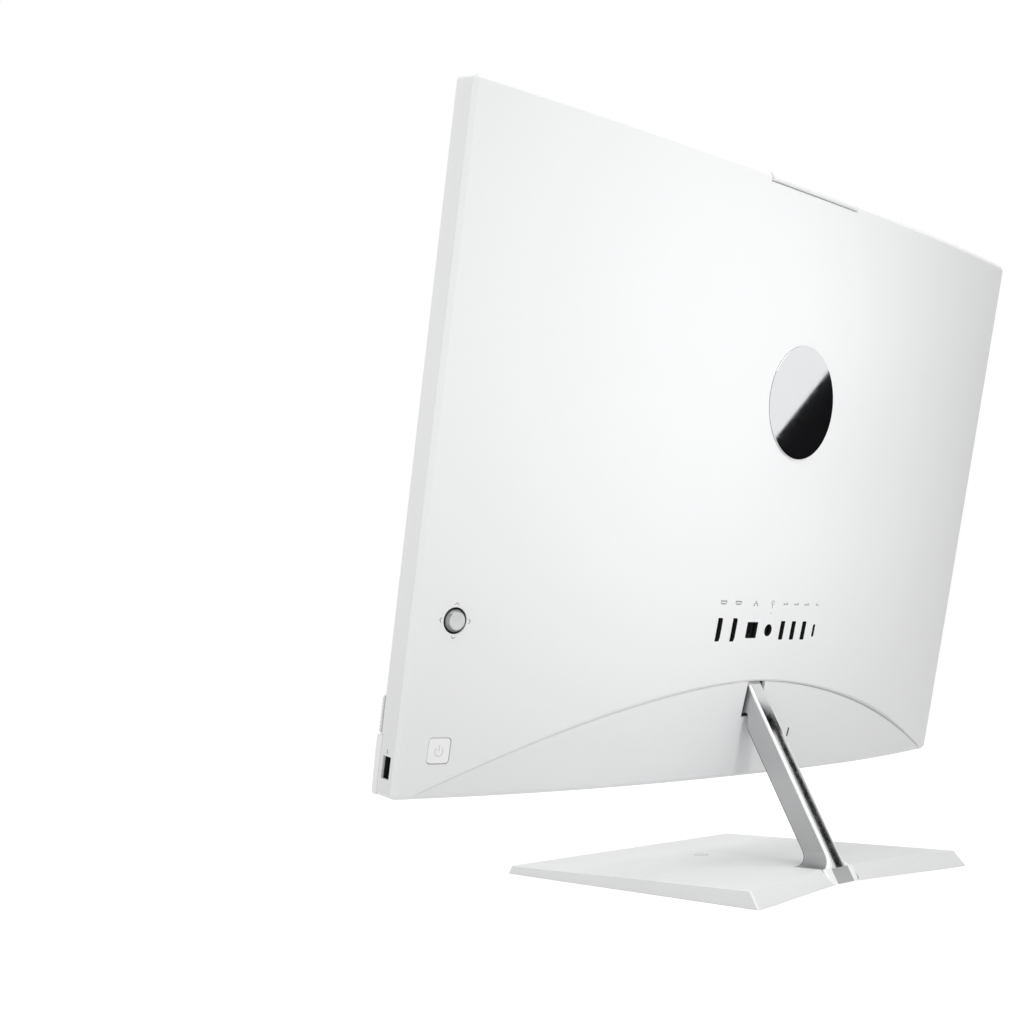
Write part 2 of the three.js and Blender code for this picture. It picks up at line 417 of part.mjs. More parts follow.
function neckSolid(e) {
  const hs = [-14, 0, 0.6, 1.6, 3, 5, 7.3, FOOT_FILLET, 150];
  const bar = skin(hs.map((h) => neckSection(h, e, 1.2)));
  const F = NECK_FRONT - e - 12, R = NECK_REAR + e + 3;
  const prof = [[R, -170], [R, 5.2 + e], [10 + 2.78, 5.2 + e], [10, 9.5 + e], [2, 9.5 + e], [NECK_FRONT - e, 5], [F, 5], [F, -11], [NECK_FRONT - 0.05, -12],
    [0.9 - e, -12.9], [1.6 - e, -14.9], [NECK_FRONT - 0.05, -25.2], [F, -25.3], [F, -170]];
  return bar.intersect(alongX(poly(prof), -40, 40).transform(Array.from(neckFrame.elements)));
}
let neck = neckSolid(0);
neck = neck.intersect(box(-60, 60, -80, 120, 0.9, 260));
neck = sub(neck, inFrame(cylX(2.8, -20, 20), neckFrame));
const flangeScrews = [[-22, 30], [22, 30], [0, 26]];
let flange = sub(box(-30, 30, 20, 69.5, 3.0, 5.6), ...flangeScrews.map(([x, y]) => cylZ(2.2, 0, 10, x, y, 16)));
neck = neck.add(flange);
stand.add(piece('neck', neck, ...ALU));
stand.add(piece('hinge_shaft', inFrame(cylX(SHAFT_R, -42, 42), neckFrame), ...STEEL));

// base: wedge with a hollow rear edge
const rearBottom = [[128.5, 102.4], [103, 99], [73, 93.5], [42, 88.2], [20, 84.7], [0, 83.9]];
const rearTop = [[126, 94.4], [100, 89.6], [72, 84.4], [42, 79.3], [20, 75.6], [0, 74.3]];
function ring(rear, halfFront, front, z) {
  const right = rear.map(([x, y]) => [x, y]);
  const left = rear.slice(0, -1).reverse().map(([x, y]) => [-x, y]);
  return [...right, ...left, [-halfFront, front], [halfFront, front]].map(([x, y]) => [x, y, typeof z === 'function' ? z(y) : z]);
}
const inset = (pts, k) => pts.map(([x, y]) => [x * (1 - k / 128.5), y - k]);
let base = loft(ring(rearBottom, 128.5, BASE_FRONT, BASE_BOTTOM), ring(rearTop, 126, BASE_FRONT + 0.8, baseTopZ));
const pocket = (k, bottom, roof) => loft(ring(inset(rearTop, 4 + k), 122.5 - k, BASE_FRONT + 4 + k, bottom), ring(inset(rearTop, 4 + k), 122.5 - k, BASE_FRONT + 4 + k, (y) => baseTopZ(y) - roof));
base = base.subtract(pocket(0, -5, 2.5));
base = add(base, ...flangeScrews.map(([x, y]) => cylZ(4, 5.9, baseTopZ(y) - 2, x, y, 16)));
base = sub(base, neckSolid(GAP), ...flangeScrews.map(([x, y]) => cylZ(2.1, 2, 8.0, x, y, 16)));
stand.add(piece('base_plate', base, ...WHITE));
const wide = box(-30.4, 30.4, 19.6, 120, -5, 20);
let weight = sub(pocket(0.4, 1.6, 2.9), wide, neckSolid(0.6));
weight = sub(weight, ...flangeScrews.map(([x, y]) => cylZ(5, -1, 20, x, y, 16)));
stand.add(piece('weight_plate', weight, ...STEEL));
flangeScrews.forEach(([x, y], i) => stand.add(piece(`neck_screw_${i + 1}`, add(cylZ(1.8, 2.0, 7.6, x, y, 12), cylZ(3.8, 1.2, 2.7, x, y, 16)), ...STEEL)));
for (const [n, x, y] of [['front_left', -100, -88], ['front_right', 100, -88], ['rear_left', -100, 76], ['rear_right', 100, 76]]) {
  const g = new THREE.ExtrudeGeometry(roundRect(34, 9, 4, x, y), { depth: 1.3, bevelEnabled: false, curveSegments: 4 });
  stand.add(piece(`foot_pad_${n}`, toM(g), ...RUBBER));
}

const root = new THREE.Group();
root.add(stand, head);
export default root;
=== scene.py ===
import math
import bpy
import bmesh
import numpy as np
from mathutils import Matrix, Vector


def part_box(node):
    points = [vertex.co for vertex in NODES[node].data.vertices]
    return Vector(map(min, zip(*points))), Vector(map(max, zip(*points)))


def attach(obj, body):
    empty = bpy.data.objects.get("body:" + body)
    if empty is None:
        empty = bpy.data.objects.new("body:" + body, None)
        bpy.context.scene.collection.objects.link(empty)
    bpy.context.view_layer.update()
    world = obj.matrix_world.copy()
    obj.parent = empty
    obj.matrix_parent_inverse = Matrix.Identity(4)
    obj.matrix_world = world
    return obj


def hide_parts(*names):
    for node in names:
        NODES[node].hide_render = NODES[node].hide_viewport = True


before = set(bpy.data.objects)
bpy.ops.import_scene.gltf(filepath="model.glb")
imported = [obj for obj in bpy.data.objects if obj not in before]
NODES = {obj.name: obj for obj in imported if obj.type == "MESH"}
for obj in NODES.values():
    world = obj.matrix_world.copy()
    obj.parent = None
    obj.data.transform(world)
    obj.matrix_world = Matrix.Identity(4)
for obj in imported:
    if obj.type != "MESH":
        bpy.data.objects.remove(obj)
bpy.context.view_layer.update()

# ------------------------------------------------------------------ frames (lengths in millimetres, as in the CAD)
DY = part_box("base_plate")[0].y * 1000 + 102.5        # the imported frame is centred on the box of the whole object
HEAD_W, HEAD_H, TILT = 611.0, 401.0, math.radians(9.8)
HW = HEAD_W / 2
HEAD = Matrix.Translation((0, -41.25 + DY, 71.72)) @ Matrix.Rotation(-TILT, 4, "X")
PIVOT_Y = -41.25 + 57 * math.sin(TILT) + 33.5 * math.cos(TILT)
PIVOT_Z = 71.72 + 57 * math.cos(TILT) - 33.5 * math.sin(TILT)
NECK_A = math.radians(29.1)
NECK = Matrix.Translation((0, PIVOT_Y + DY, PIVOT_Z)) @ Matrix.Rotation(NECK_A, 4, "X")
WORLD = Matrix.Translation((0, DY, 0))

BA, BB, BC = -50.4646, 45.9346, 21.76
_s = 0.45
BA = (32.21 - BC - _s * (17.23 - BC)) / (_s * _s - _s)
BB = 17.23 - BA - BC


def dome(u, v):
    s = min(max(v / HEAD_H, 0.0), 1.0)
    b = BA * s * s + BB * s + BC
    return 14.9 + b * (1 - min(abs(u) / HW, 1.0) ** 2.416)


def inside(u, v, r=3.5):
    """distance in from the rounded outline of the head"""
    qx, qy = abs(u) - (HW - r), abs(v - HEAD_H / 2) - (HEAD_H / 2 - r)
    return r - math.hypot(max(qx, 0), max(qy, 0)) - min(max(qx, qy), 0)


def softplus(x, w=0.16):
    return w * math.log1p(math.exp(x / w)) if x / w < 30 else x


def depth(u, v, off=0.0):
    """back surface, with the band bevelled round its edge"""
    return dome(u, v) - off - 0.8 * softplus(2.5 - inside(u, v))


def depth_normal(u, v, f=depth, h=0.02):
    gu = (f(u + h, v) - f(u - h, v)) / (2 * h)
    gv = (f(u, v + h) - f(u, v - h)) / (2 * h)
    return Vector((-gu, 1, -gv)).normalized()


def arc(u):
    return 69.5 * (1 - (abs(u) / 297.0) ** 1.75)


def surface_frame(u, v):
    e = 0.5
    du = Vector((2 * e, dome(u + e, v) - dome(u - e, v), 0)).normalized()
    dv = Vector((0, dome(u, v + e) - dome(u, v - e), 2 * e)).normalized()
    n = dv.cross(du).normalized()
    z = du.cross(n).normalized()
    m = Matrix.Identity(4)
    for i, c in enumerate((du, n, z, Vector((u, dome(u, v), v)))):
        m[0][i], m[1][i], m[2][i] = c
    return m


# ------------------------------------------------------------------ materials
def new_mat(name):
    m = bpy.data.materials.new(name)
    m.use_nodes = True
    nt = m.node_tree
    nt.nodes.clear()
    out = nt.nodes.new("ShaderNodeOutputMaterial")
    bsdf = nt.nodes.new("ShaderNodeBsdfPrincipled")
    nt.links.new(bsdf.outputs[0], out.inputs[0])
    return m, nt, bsdf


def rgb(h):
    c = [((h >> s) & 255) / 255 for s in (16, 8, 0)]
    return [x / 12.92 if x <= 0.04045 else ((x + 0.055) / 1.055) ** 2.4 for x in c] + [1]


def finish_mat(name, colour, rough, metal=0.0, grain=900, grain_amp=0.05, bump=0.05, bump_scale=1600, cloud=14, cloud_amp=0.03,
               rough_amp=0.06, wear=0.0, stretch=None, spec=0.5, coat=0.0, dist=0.00005, painted_light_ramp=None, axis="Z"):
    """a finish with colour clouds, fine grain, roughness variation, a grained bump and lighter worn edges"""
    m, nt, bsdf = new_mat(name)
    n, l = nt.nodes, nt.links
    tc = n.new("ShaderNodeTexCoord")
    mp = n.new("ShaderNodeMapping")
    l.new(tc.outputs["Object"], mp.inputs["Vector"])
    if stretch:
        mp.inputs["Scale"].default_value = stretch

    def noise(scale, detail=3.0, rough_=0.55, src=mp):
        t = n.new("ShaderNodeTexNoise")
        t.inputs["Scale"].default_value = scale
        t.inputs["Detail"].default_value = detail
        t.inputs["Roughness"].default_value = rough_
        l.new(src.outputs[0] if src is mp else src.outputs["Object"], t.inputs["Vector"])
        return t

    big, fine, dust = noise(cloud, 4.0, 0.6, tc), noise(grain, 2.0), noise(cloud * 9, 5.0, 0.65, tc)
    c = rgb(colour) if isinstance(colour, int) else colour
    dark = [x * (1 - cloud_amp) for x in c[:3]] + [1]
    lite = [min(1.0, x * (1 + cloud_amp)) for x in c[:3]] + [1]
    mix = n.new("ShaderNodeMix")
    mix.data_type = "RGBA"
    mix.inputs["A"].default_value = dark
    mix.inputs["B"].default_value = lite
    l.new(big.outputs["Fac"], mix.inputs["Factor"])
    mix2 = n.new("ShaderNodeMix")
    mix2.data_type = "RGBA"
    mix2.blend_type = "MULTIPLY"
    ramp = n.new("ShaderNodeMapRange")
    ramp.inputs["From Min"].default_value = 0.35
    ramp.inputs["From Max"].default_value = 0.65
    ramp.inputs["To Min"].default_value = 1 - grain_amp
    ramp.inputs["To Max"].default_value = 1.0
    l.new(fine.outputs["Fac"], ramp.inputs["Value"])
    comb = n.new("ShaderNodeCombineColor")
    for i in range(3):
        l.new(ramp.outputs[0], comb.inputs[i])
    mix2.inputs["Factor"].default_value = 1.0
    l.new(mix.outputs["Result"], mix2.inputs["A"])
    l.new(comb.outputs[0], mix2.inputs["B"])
    last = mix2.outputs["Result"]
    # painted light and shade: a ramp along one object axis scales the colour, lighter at one end
    if painted_light_ramp:
        sx = n.new("ShaderNodeSeparateXYZ")
        l.new(tc.outputs["Object"], sx.inputs[0])
        zr = n.new("ShaderNodeMapRange")
        for key, val in zip(("From Min", "From Max", "To Min", "To Max"), painted_light_ramp):
            zr.inputs[key].default_value = val
        l.new(sx.outputs[axis], zr.inputs["Value"])
        cz = n.new("ShaderNodeCombineColor")
        for i in range(3):
            l.new(zr.outputs[0], cz.inputs[i])
        m4 = n.new("ShaderNodeMix")
        m4.data_type = "RGBA"
        m4.blend_type = "MULTIPLY"
        m4.inputs["Factor"].default_value = 1.0
        l.new(last, m4.inputs["A"])
        l.new(cz.outputs[0], m4.inputs["B"])
        last = m4.outputs["Result"]
    if wear > 0:
        geo = n.new("ShaderNodeNewGeometry")
        wr = n.new("ShaderNodeMapRange")
        wr.inputs["From Min"].default_value = 0.53
        wr.inputs["From Max"].default_value = 0.62
        wr.inputs["To Min"].default_value = 0.0
        wr.inputs["To Max"].default_value = wear
        l.new(geo.outputs["Pointiness"], wr.inputs["Value"])
        m3 = n.new("ShaderNodeMix")
        m3.data_type = "RGBA"
        m3.inputs["B"].default_value = [min(1.0, x * 1.5 + 0.06) for x in c[:3]] + [1]
        l.new(wr.outputs[0], m3.inputs["Factor"])
        l.new(last, m3.inputs["A"])
        last = m3.outputs["Result"]
    l.new(last, bsdf.inputs["Base Color"])
    rr = n.new("ShaderNodeMapRange")
    rr.inputs["From Min"].default_value = 0.3
    rr.inputs["From Max"].default_value = 0.7
    rr.inputs["To Min"].default_value = max(0.02, rough - rough_amp)
    rr.inputs["To Max"].default_value = min(1.0, rough + rough_amp)
    l.new(dust.outputs["Fac"], rr.inputs["Value"])
    l.new(rr.outputs[0], bsdf.inputs["Roughness"])
    bsdf.inputs["Metallic"].default_value = metal
    bsdf.inputs["Specular IOR Level"].default_value = spec
    if coat:
        bsdf.inputs["Coat Weight"].default_value = coat
        bsdf.inputs["Coat Roughness"].default_value = 0.08
    if bump:
        bt = noise(bump_scale, 2.0, 0.6)
        bn = n.new("ShaderNodeBump")
        bn.inputs["Strength"].default_value = bump
        bn.inputs["Distance"].default_value = dist
        l.new(bt.outputs["Fac"], bn.inputs["Height"])
        l.new(bn.outputs[0], bsdf.inputs["Normal"])
    return m


MAT = {}
MAT["shell"] = finish_mat("shell_white", (0.86, 0.865, 0.87, 1), 0.46, grain=1500, grain_amp=0.02, bump=0.12, bump_scale=2600, cloud=9, cloud_amp=0.008, wear=0.08, spec=0.4)
MAT["shell_low"] = finish_mat("shell_white_lower", (0.83, 0.835, 0.84, 1), 0.48, grain=1500, grain_amp=0.02, bump=0.12, bump_scale=2600, cloud=9, cloud_amp=0.008, wear=0.08, spec=0.4)
MAT["shell_hi"] = finish_mat("shell_white_cap", (0.86, 0.865, 0.87, 1), 0.40, grain=1500, grain_amp=0.015, bump=0.1, bump_scale=2600, cloud=9, cloud_amp=0.006, wear=0.08, spec=0.5)
MAT["inner_white"] = finish_mat("inner_white", (0.62, 0.625, 0.63, 1), 0.6, grain=900, grain_amp=0.05, bump=0.2, cloud=20, cloud_amp=0.03)
MAT["grey_plastic"] = finish_mat("grey_plastic", (0.60, 0.605, 0.61, 1), 0.5, grain=1100, grain_amp=0.05, bump=0.2, bump_scale=2200, cloud=16, cloud_amp=0.03, wear=0.15)
MAT["black"] = finish_mat("black_plastic", (0.016, 0.017, 0.019, 1), 0.42, grain=1400, grain_amp=0.25, bump=0.25, bump_scale=2400, cloud=30, cloud_amp=0.2, wear=0.25)
# cavity: near black standing for the painted shade inside openings; also given to the socket shells
MAT["cavity"] = finish_mat("cavity_painted_shade", (0.010, 0.010, 0.011, 1), 0.7, grain=1400, grain_amp=0.25, bump=0.2, bump_scale=2400, cloud=30, cloud_amp=0.2)
MAT["alu"] = finish_mat("satin_aluminium", (0.70, 0.705, 0.71, 1), 0.085, metal=1.0, grain=1200, grain_amp=0.03, bump=0.02, bump_scale=900, cloud=12, cloud_amp=0.02, stretch=(1, 1, 0.06), rough_amp=0.03)
# the side and front aluminium are darker copies of the rear aluminium: painted shade, the side one painted lighter
# towards the top
MAT["alu_side_shade"] = finish_mat("satin_aluminium_side_painted_shade", (0.49, 0.494, 0.498, 1), 0.42, painted_light_ramp=(0.015, 0.12, 0.86, 1.18), metal=1.0, grain=1200, grain_amp=0.03, bump=0.10, bump_scale=1500, cloud=12, cloud_amp=0.02, rough_amp=0.04)
MAT["alu_front_shade"] = finish_mat("aluminium_front_painted_shade", (0.20, 0.203, 0.208, 1), 0.45, metal=1.0, grain=1200, grain_amp=0.03, bump=0.10, bump_scale=1500, cloud=12, cloud_amp=0.02, rough_amp=0.04)
MAT["shell_base"] = finish_mat("shell_white_base", (0.80, 0.804, 0.808, 1), 0.5, grain=1500, grain_amp=0.02, bump=0.12, bump_scale=2600, cloud=9, cloud_amp=0.008, wear=0.05, spec=0.2)
# the side walls' white is painted darker towards the bottom: painted shade
MAT["shell_side_shade"] = finish_mat("shell_white_side_painted_shade", (0.86, 0.865, 0.87, 1), 0.46, grain=1500, grain_amp=0.02, bump=0.12, bump_scale=2600, cloud=9, cloud_amp=0.008, spec=0.4, painted_light_ramp=(0.10, 0.30, 0.91, 0.995))
MAT["button_face"] = finish_mat("button_face", (0.93, 0.933, 0.936, 1), 0.34, grain=1500, grain_amp=0.012, bump=0.08, bump_scale=2600, cloud=20, cloud_amp=0.008, spec=0.6)
# cap_gap_shade: a darker white, painted shade in the gap round the camera cap
MAT["cap_gap_shade"] = finish_mat("cap_gap_painted_shade", (0.80, 0.804, 0.808, 1), 0.5, grain=1500, grain_amp=0.02, bump=0.1, cloud=9, cloud_amp=0.008, spec=0.3)
# shell_rim: a lighter, glossier white, a painted highlight on the base's corner and rim bevels
MAT["shell_rim"] = finish_mat("shell_white_rim_painted_highlight", (0.93, 0.933, 0.937, 1), 0.3, grain=1500, grain_amp=0.01, bump=0.08, bump_scale=2600, cloud=9, cloud_amp=0.006, wear=0.0, spec=0.6)
# the seam greys are painted shade in the seam groove, painted lighter towards +X
MAT["seam_shade_soft"] = finish_mat("seam_shade_soft", (0.70, 0.705, 0.71, 1), 0.55, grain=1500, grain_amp=0.02, bump=0.1, cloud=9, cloud_amp=0.01, spec=0.3, painted_light_ramp=(0.0, 0.22, 1.0, 1.2), axis="X")
MAT["seam_shade_deep"] = finish_mat("seam_shade_deep", (0.46, 0.465, 0.47, 1), 0.6, grain=1500, grain_amp=0.02, bump=0.1, cloud=9, cloud_amp=0.01, spec=0.2, painted_light_ramp=(0.0, 0.22, 1.0, 1.65), axis="X")
# bevel: a near-white semi-metal, a painted highlight on the neck's rear chamfers and flare strips
MAT["bevel"] = finish_mat("bevel_painted_highlight", (0.90, 0.905, 0.91, 1), 0.33, metal=0.45, grain=1200, grain_amp=0.02, bump=0.008, bump_scale=1500, cloud=12, cloud_amp=0.02, rough_amp=0.03)
MAT["chrome"] = finish_mat("bright_chrome", (0.80, 0.81, 0.82, 1), 0.055, metal=1.0, grain=2000, grain_amp=0.02, bump=0.02, bump_scale=3000, cloud=40, cloud_amp=0.02, rough_amp=0.02)
MAT["knob"] = finish_mat("knob_metal", (0.62, 0.624, 0.628, 1), 0.26, metal=0.85, grain=1600, grain_amp=0.03, bump=0.05, bump_scale=2400, cloud=60, cloud_amp=0.03, rough_amp=0.04)
MAT["steel"] = finish_mat("zinc_steel", (0.46, 0.47, 0.48, 1), 0.36, metal=1.0, grain=700, grain_amp=0.12, bump=0.2, bump_scale=1200, cloud=60, cloud_amp=0.10, wear=0.3)
MAT["copper"] = finish_mat("copper", (0.72, 0.34, 0.19, 1), 0.32, metal=1.0, grain=800, grain_amp=0.12, bump=0.2, bump_scale=1200, cloud=50, cloud_amp=0.14, wear=0.3)
MAT["gold"] = finish_mat("contact_gold", (0.85, 0.62, 0.25, 1), 0.25, metal=1.0, grain=1500, grain_amp=0.06, bump=0.1, cloud=80, cloud_amp=0.06)
MAT["pcb"] = finish_mat("board_green", (0.020, 0.085, 0.045, 1), 0.45, grain=1100, grain_amp=0.3, bump=0.5, bump_scale=420, cloud=90, cloud_amp=0.25, spec=0.5, coat=0.3)
MAT["pcb_blue"] = finish_mat("board_blue", (0.018, 0.050, 0.11, 1), 0.45, grain=1100, grain_amp=0.3, bump=0.5, bump_scale=420, cloud=90, cloud_amp=0.25, coat=0.3)
MAT["rubber"] = finish_mat("rubber", (0.022, 0.022, 0.023, 1), 0.85, grain=900, grain_amp=0.3, bump=0.6, bump_scale=900, cloud=50, cloud_amp=0.25, wear=0.2)
MAT["glass_black"] = finish_mat("screen_glass", (0.006, 0.007, 0.009, 1), 0.06, grain=600, grain_amp=0.2, bump=0.01, bump_scale=800, cloud=8, cloud_amp=0.2, rough_amp=0.025, spec=0.35, coat=0.25)
MAT["panel"] = finish_mat("lcd_panel", (0.012, 0.013, 0.018, 1), 0.25, grain=3000, grain_amp=0.3, bump=0.1, bump_scale=4000, cloud=10, cloud_amp=0.15)
MAT["tray"] = finish_mat("backlight_tray", (0.55, 0.56, 0.57, 1), 0.35, metal=1.0, grain=700, grain_amp=0.12, bump=0.2, bump_scale=1200, cloud=40, cloud_amp=0.08, wear=0.2)
MAT["mark"] = finish_mat("printed_mark", (0.30, 0.305, 0.31, 1), 0.6, grain=2500, grain_amp=0.15, bump=0.1, cloud=200, cloud_amp=0.1)
MAT["mark_faint"] = finish_mat("printed_mark_faint", (0.70, 0.705, 0.71, 1), 0.6, grain=2500, grain_amp=0.08, bump=0.1, cloud=200, cloud_amp=0.05)
MAT["mark_soft"] = finish_mat("printed_mark_soft", (0.56, 0.565, 0.57, 1), 0.6, grain=2500, grain_amp=0.1, bump=0.1, cloud=200, cloud_amp=0.06)
# flank: a darker copy of the knob metal, painted shade on the knob's side down in the hole
MAT["flank"] = finish_mat("knob_flank_painted_shade", (0.29, 0.292, 0.295, 1), 0.30, metal=0.95, grain=1600, grain_amp=0.05, bump=0.05, bump_scale=2400, cloud=60, cloud_amp=0.03, rough_amp=0.04)
MAT["gap"] = finish_mat("shadow_gap", (0.28, 0.283, 0.288, 1), 0.7, grain=1500, grain_amp=0.05, bump=0.1, cloud=30, cloud_amp=0.05)
MAT["lens"] = finish_mat("lens_glass", (0.01, 0.008, 0.02, 1), 0.04, grain=2500, grain_amp=0.1, bump=0.0, cloud=300, cloud_amp=0.4, rough_amp=0.02, coat=1.0)


def fabric_mat():
    m = finish_mat("speaker_fabric", (0.78, 0.785, 0.79, 1), 0.9, grain=1600, grain_amp=0.15, bump=0.0, cloud=30, cloud_amp=0.05)
    nt = m.node_tree
    n, l = nt.nodes, nt.links
    bsdf = next(x for x in n if x.type == "BSDF_PRINCIPLED")
    tc = n.new("ShaderNodeTexCoord")
    heights = []
    for axis, sc in (("X", 900.0), ("Z", 900.0)):
        w = n.new("ShaderNodeTexWave")
        w.wave_type = "BANDS"
        w.bands_direction = axis
        w.inputs["Scale"].default_value = sc
        w.inputs["Distortion"].default_value = 0.6
        w.inputs["Detail Scale"].default_value = 2.0
        l.new(tc.outputs["Object"], w.inputs["Vector"])
        heights.append(w)
    mul = n.new("ShaderNodeMath")
    mul.operation = "MULTIPLY"
    l.new(heights[0].outputs["Fac"], mul.inputs[0])
    l.new(heights[1].outputs["Fac"], mul.inputs[1])
    bn = n.new("ShaderNodeBump")
    bn.inputs["Strength"].default_value = 0.7
    bn.inputs["Distance"].default_value = 0.0003
    l.new(mul.outputs[0], bn.inputs["Height"])
    l.new(bn.outputs[0], bsdf.inputs["Normal"])
    return m


MAT["fabric"] = fabric_mat()

# ------------------------------------------------------------------ mesh helpers
SCENE = bpy.context.scene.collection


def mesh_obj(name, verts, faces, mats, matrix=None, face_mats=None, smooth=None):
    me = bpy.data.meshes.new(name)
    me.from_pydata([tuple(v) for v in verts], [], [tuple(f) for f in faces])
    if matrix is not None:
        me.transform(matrix)
    for k in mats:
        me.materials.append(MAT[k])
    if face_mats is not None:
        me.polygons.foreach_set("material_index", face_mats)
    me.validate()
    me.update()
    o = bpy.data.objects.new(name, me)
    SCENE.objects.link(o)
    if smooth is not None:
        me.polygons.foreach_set("use_smooth", [True] * len(me.polygons))
        me.set_sharp_from_angle(angle=math.radians(smooth))
    return o


def to_metres(o):
    o.data.transform(Matrix.Scale(0.001, 4))
    o.data.update()
    return o


def place(o, body, slot, *nodes):
    to_metres(o)
    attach(o, body)
    if nodes:
        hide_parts(*nodes)
    return o


def grid_solid(rings, cap=True, closed_rings=True):
    """faces of a skin through rings of equal count; the first and last ring are capped"""
    n = len(rings[0])
    verts = [p for r in rings for p in r]
    faces = []
    for k in range(len(rings) - 1):
        for i in range(n):
            j = (i + 1) % n
            faces.append((k * n + i, k * n + j, (k + 1) * n + j, (k + 1) * n + i))
    if cap:
        faces.append(tuple(reversed(range(n))))
        faces.append(tuple((len(rings) - 1) * n + i for i in range(n)))
    return verts, faces


def fix_normals(o):
    bm = bmesh.new()
    bm.from_mesh(o.data)
    bmesh.ops.recalc_face_normals(bm, faces=bm.faces)
    bm.to_mesh(o.data)
    bm.free()
    o.data.update()


def box_vf(x0, x1, y0, y1, z0, z1):
    v = [(x, y, z) for z in (z0, z1) for y in (y0, y1) for x in (x0, x1)]
    f = [(0, 2, 3, 1), (4, 5, 7, 6), (0, 1, 5, 4), (2, 6, 7, 3), (0, 4, 6, 2), (1, 3, 7, 5)]
    return v, f


def prism_vf(pts, y0, y1):
    """pts in (x, z), extruded along y"""
    n = len(pts)
    v = [(x, y0, z) for x, z in pts] + [(x, y1, z) for x, z in pts]
    f = [tuple(range(n)), tuple(reversed(range(n, 2 * n)))] + [(i, i + n, (i + 1) % n + n, (i + 1) % n) for i in range(n)]
    return v, f


def rrect(w, h, r, cx=0, cz=0, seg=6):
    pts = []
    for (sx, sz, a0) in ((1, -1, -90), (1, 1, 0), (-1, 1, 90), (-1, -1, 180)):
        for k in range(seg + 1):
            a = math.radians(a0 + 90 * k / seg)
            pts.append((cx + sx * (w / 2 - r) + r * math.cos(a), cz + sz * (h / 2 - r) + r * math.sin(a)))
    return pts


def circle(r, seg=48, cx=0, cz=0):
    return [(cx + r * math.cos(2 * math.pi * k / seg), cz + r * math.sin(2 * math.pi * k / seg)) for k in range(seg)]


def merge(parts):
    V, F = [], []
    for v, f in parts:
        o = len(V)
        V += list(v)
        F += [tuple(i + o for i in q) for q in f]
    return V, F


def tf(vf, m):
    return [tuple(m @ Vector(p)) for p in vf[0]], vf[1]


def boolean(o, parts, op="DIFFERENCE"):
    """cuts o, in its own millimetres, with solids that don't touch one another"""
    v, f = merge(parts)
    c = mesh_obj("cutter_tmp", v, f, [])
    fix_normals(c)
    md = o.modifiers.new("cut", "BOOLEAN")
    md.operation = op
    md.object = c
    md.solver = "EXACT"
    dg = bpy.context.evaluated_depsgraph_get()
    me = bpy.data.meshes.new_from_object(o.evaluated_get(dg))
    o.modifiers.clear()
    old = o.data
    name = old.name
    o.data = me
    bpy.data.meshes.remove(old)
    me.name = name
    cm = c.data
    bpy.data.objects.remove(c)
    bpy.data.meshes.remove(cm)
    return o


def lathe(profile, seg=64, m=None):
    """profile of (r, y) turned about the y axis; it starts and ends on the axis"""
    V, F = [], []
    idx = []
    for r, y in profile:
        if r < 1e-6:
            idx.append([len(V)] * seg)
            V.append((0, y, 0))
        else:
            idx.append([len(V) + k for k in range(seg)])
            V += [(r * math.cos(2 * math.pi * k / seg), y, r * math.sin(2 * math.pi * k / seg)) for k in range(seg)]
    for a, b in zip(idx, idx[1:]):
        for k in range(seg):
            j = (k + 1) % seg
            q = [a[k], a[j], b[j], b[k]]
            q = [x for i, x in enumerate(q) if x not in q[:i]]
            if len(q) > 2:
                F.append(tuple(q))
    if m is not None:
        V = [tuple(m @ Vector(p)) for p in V]
    return V, F


def set_custom(o, fn):
    """own normals where fn(centre, normal, point) gives one, the default elsewhere"""
    me = o.data
    out = []
    for p in me.polygons:
        c, n = Vector(p.center), Vector(p.normal)
        for li in p.loop_indices:
            r = fn(c, n, Vector(me.vertices[me.loops[li].vertex_index].co))
            out.append(tuple(r) if r is not None else (0.0, 0.0, 0.0))
    me.normals_split_custom_set(out)


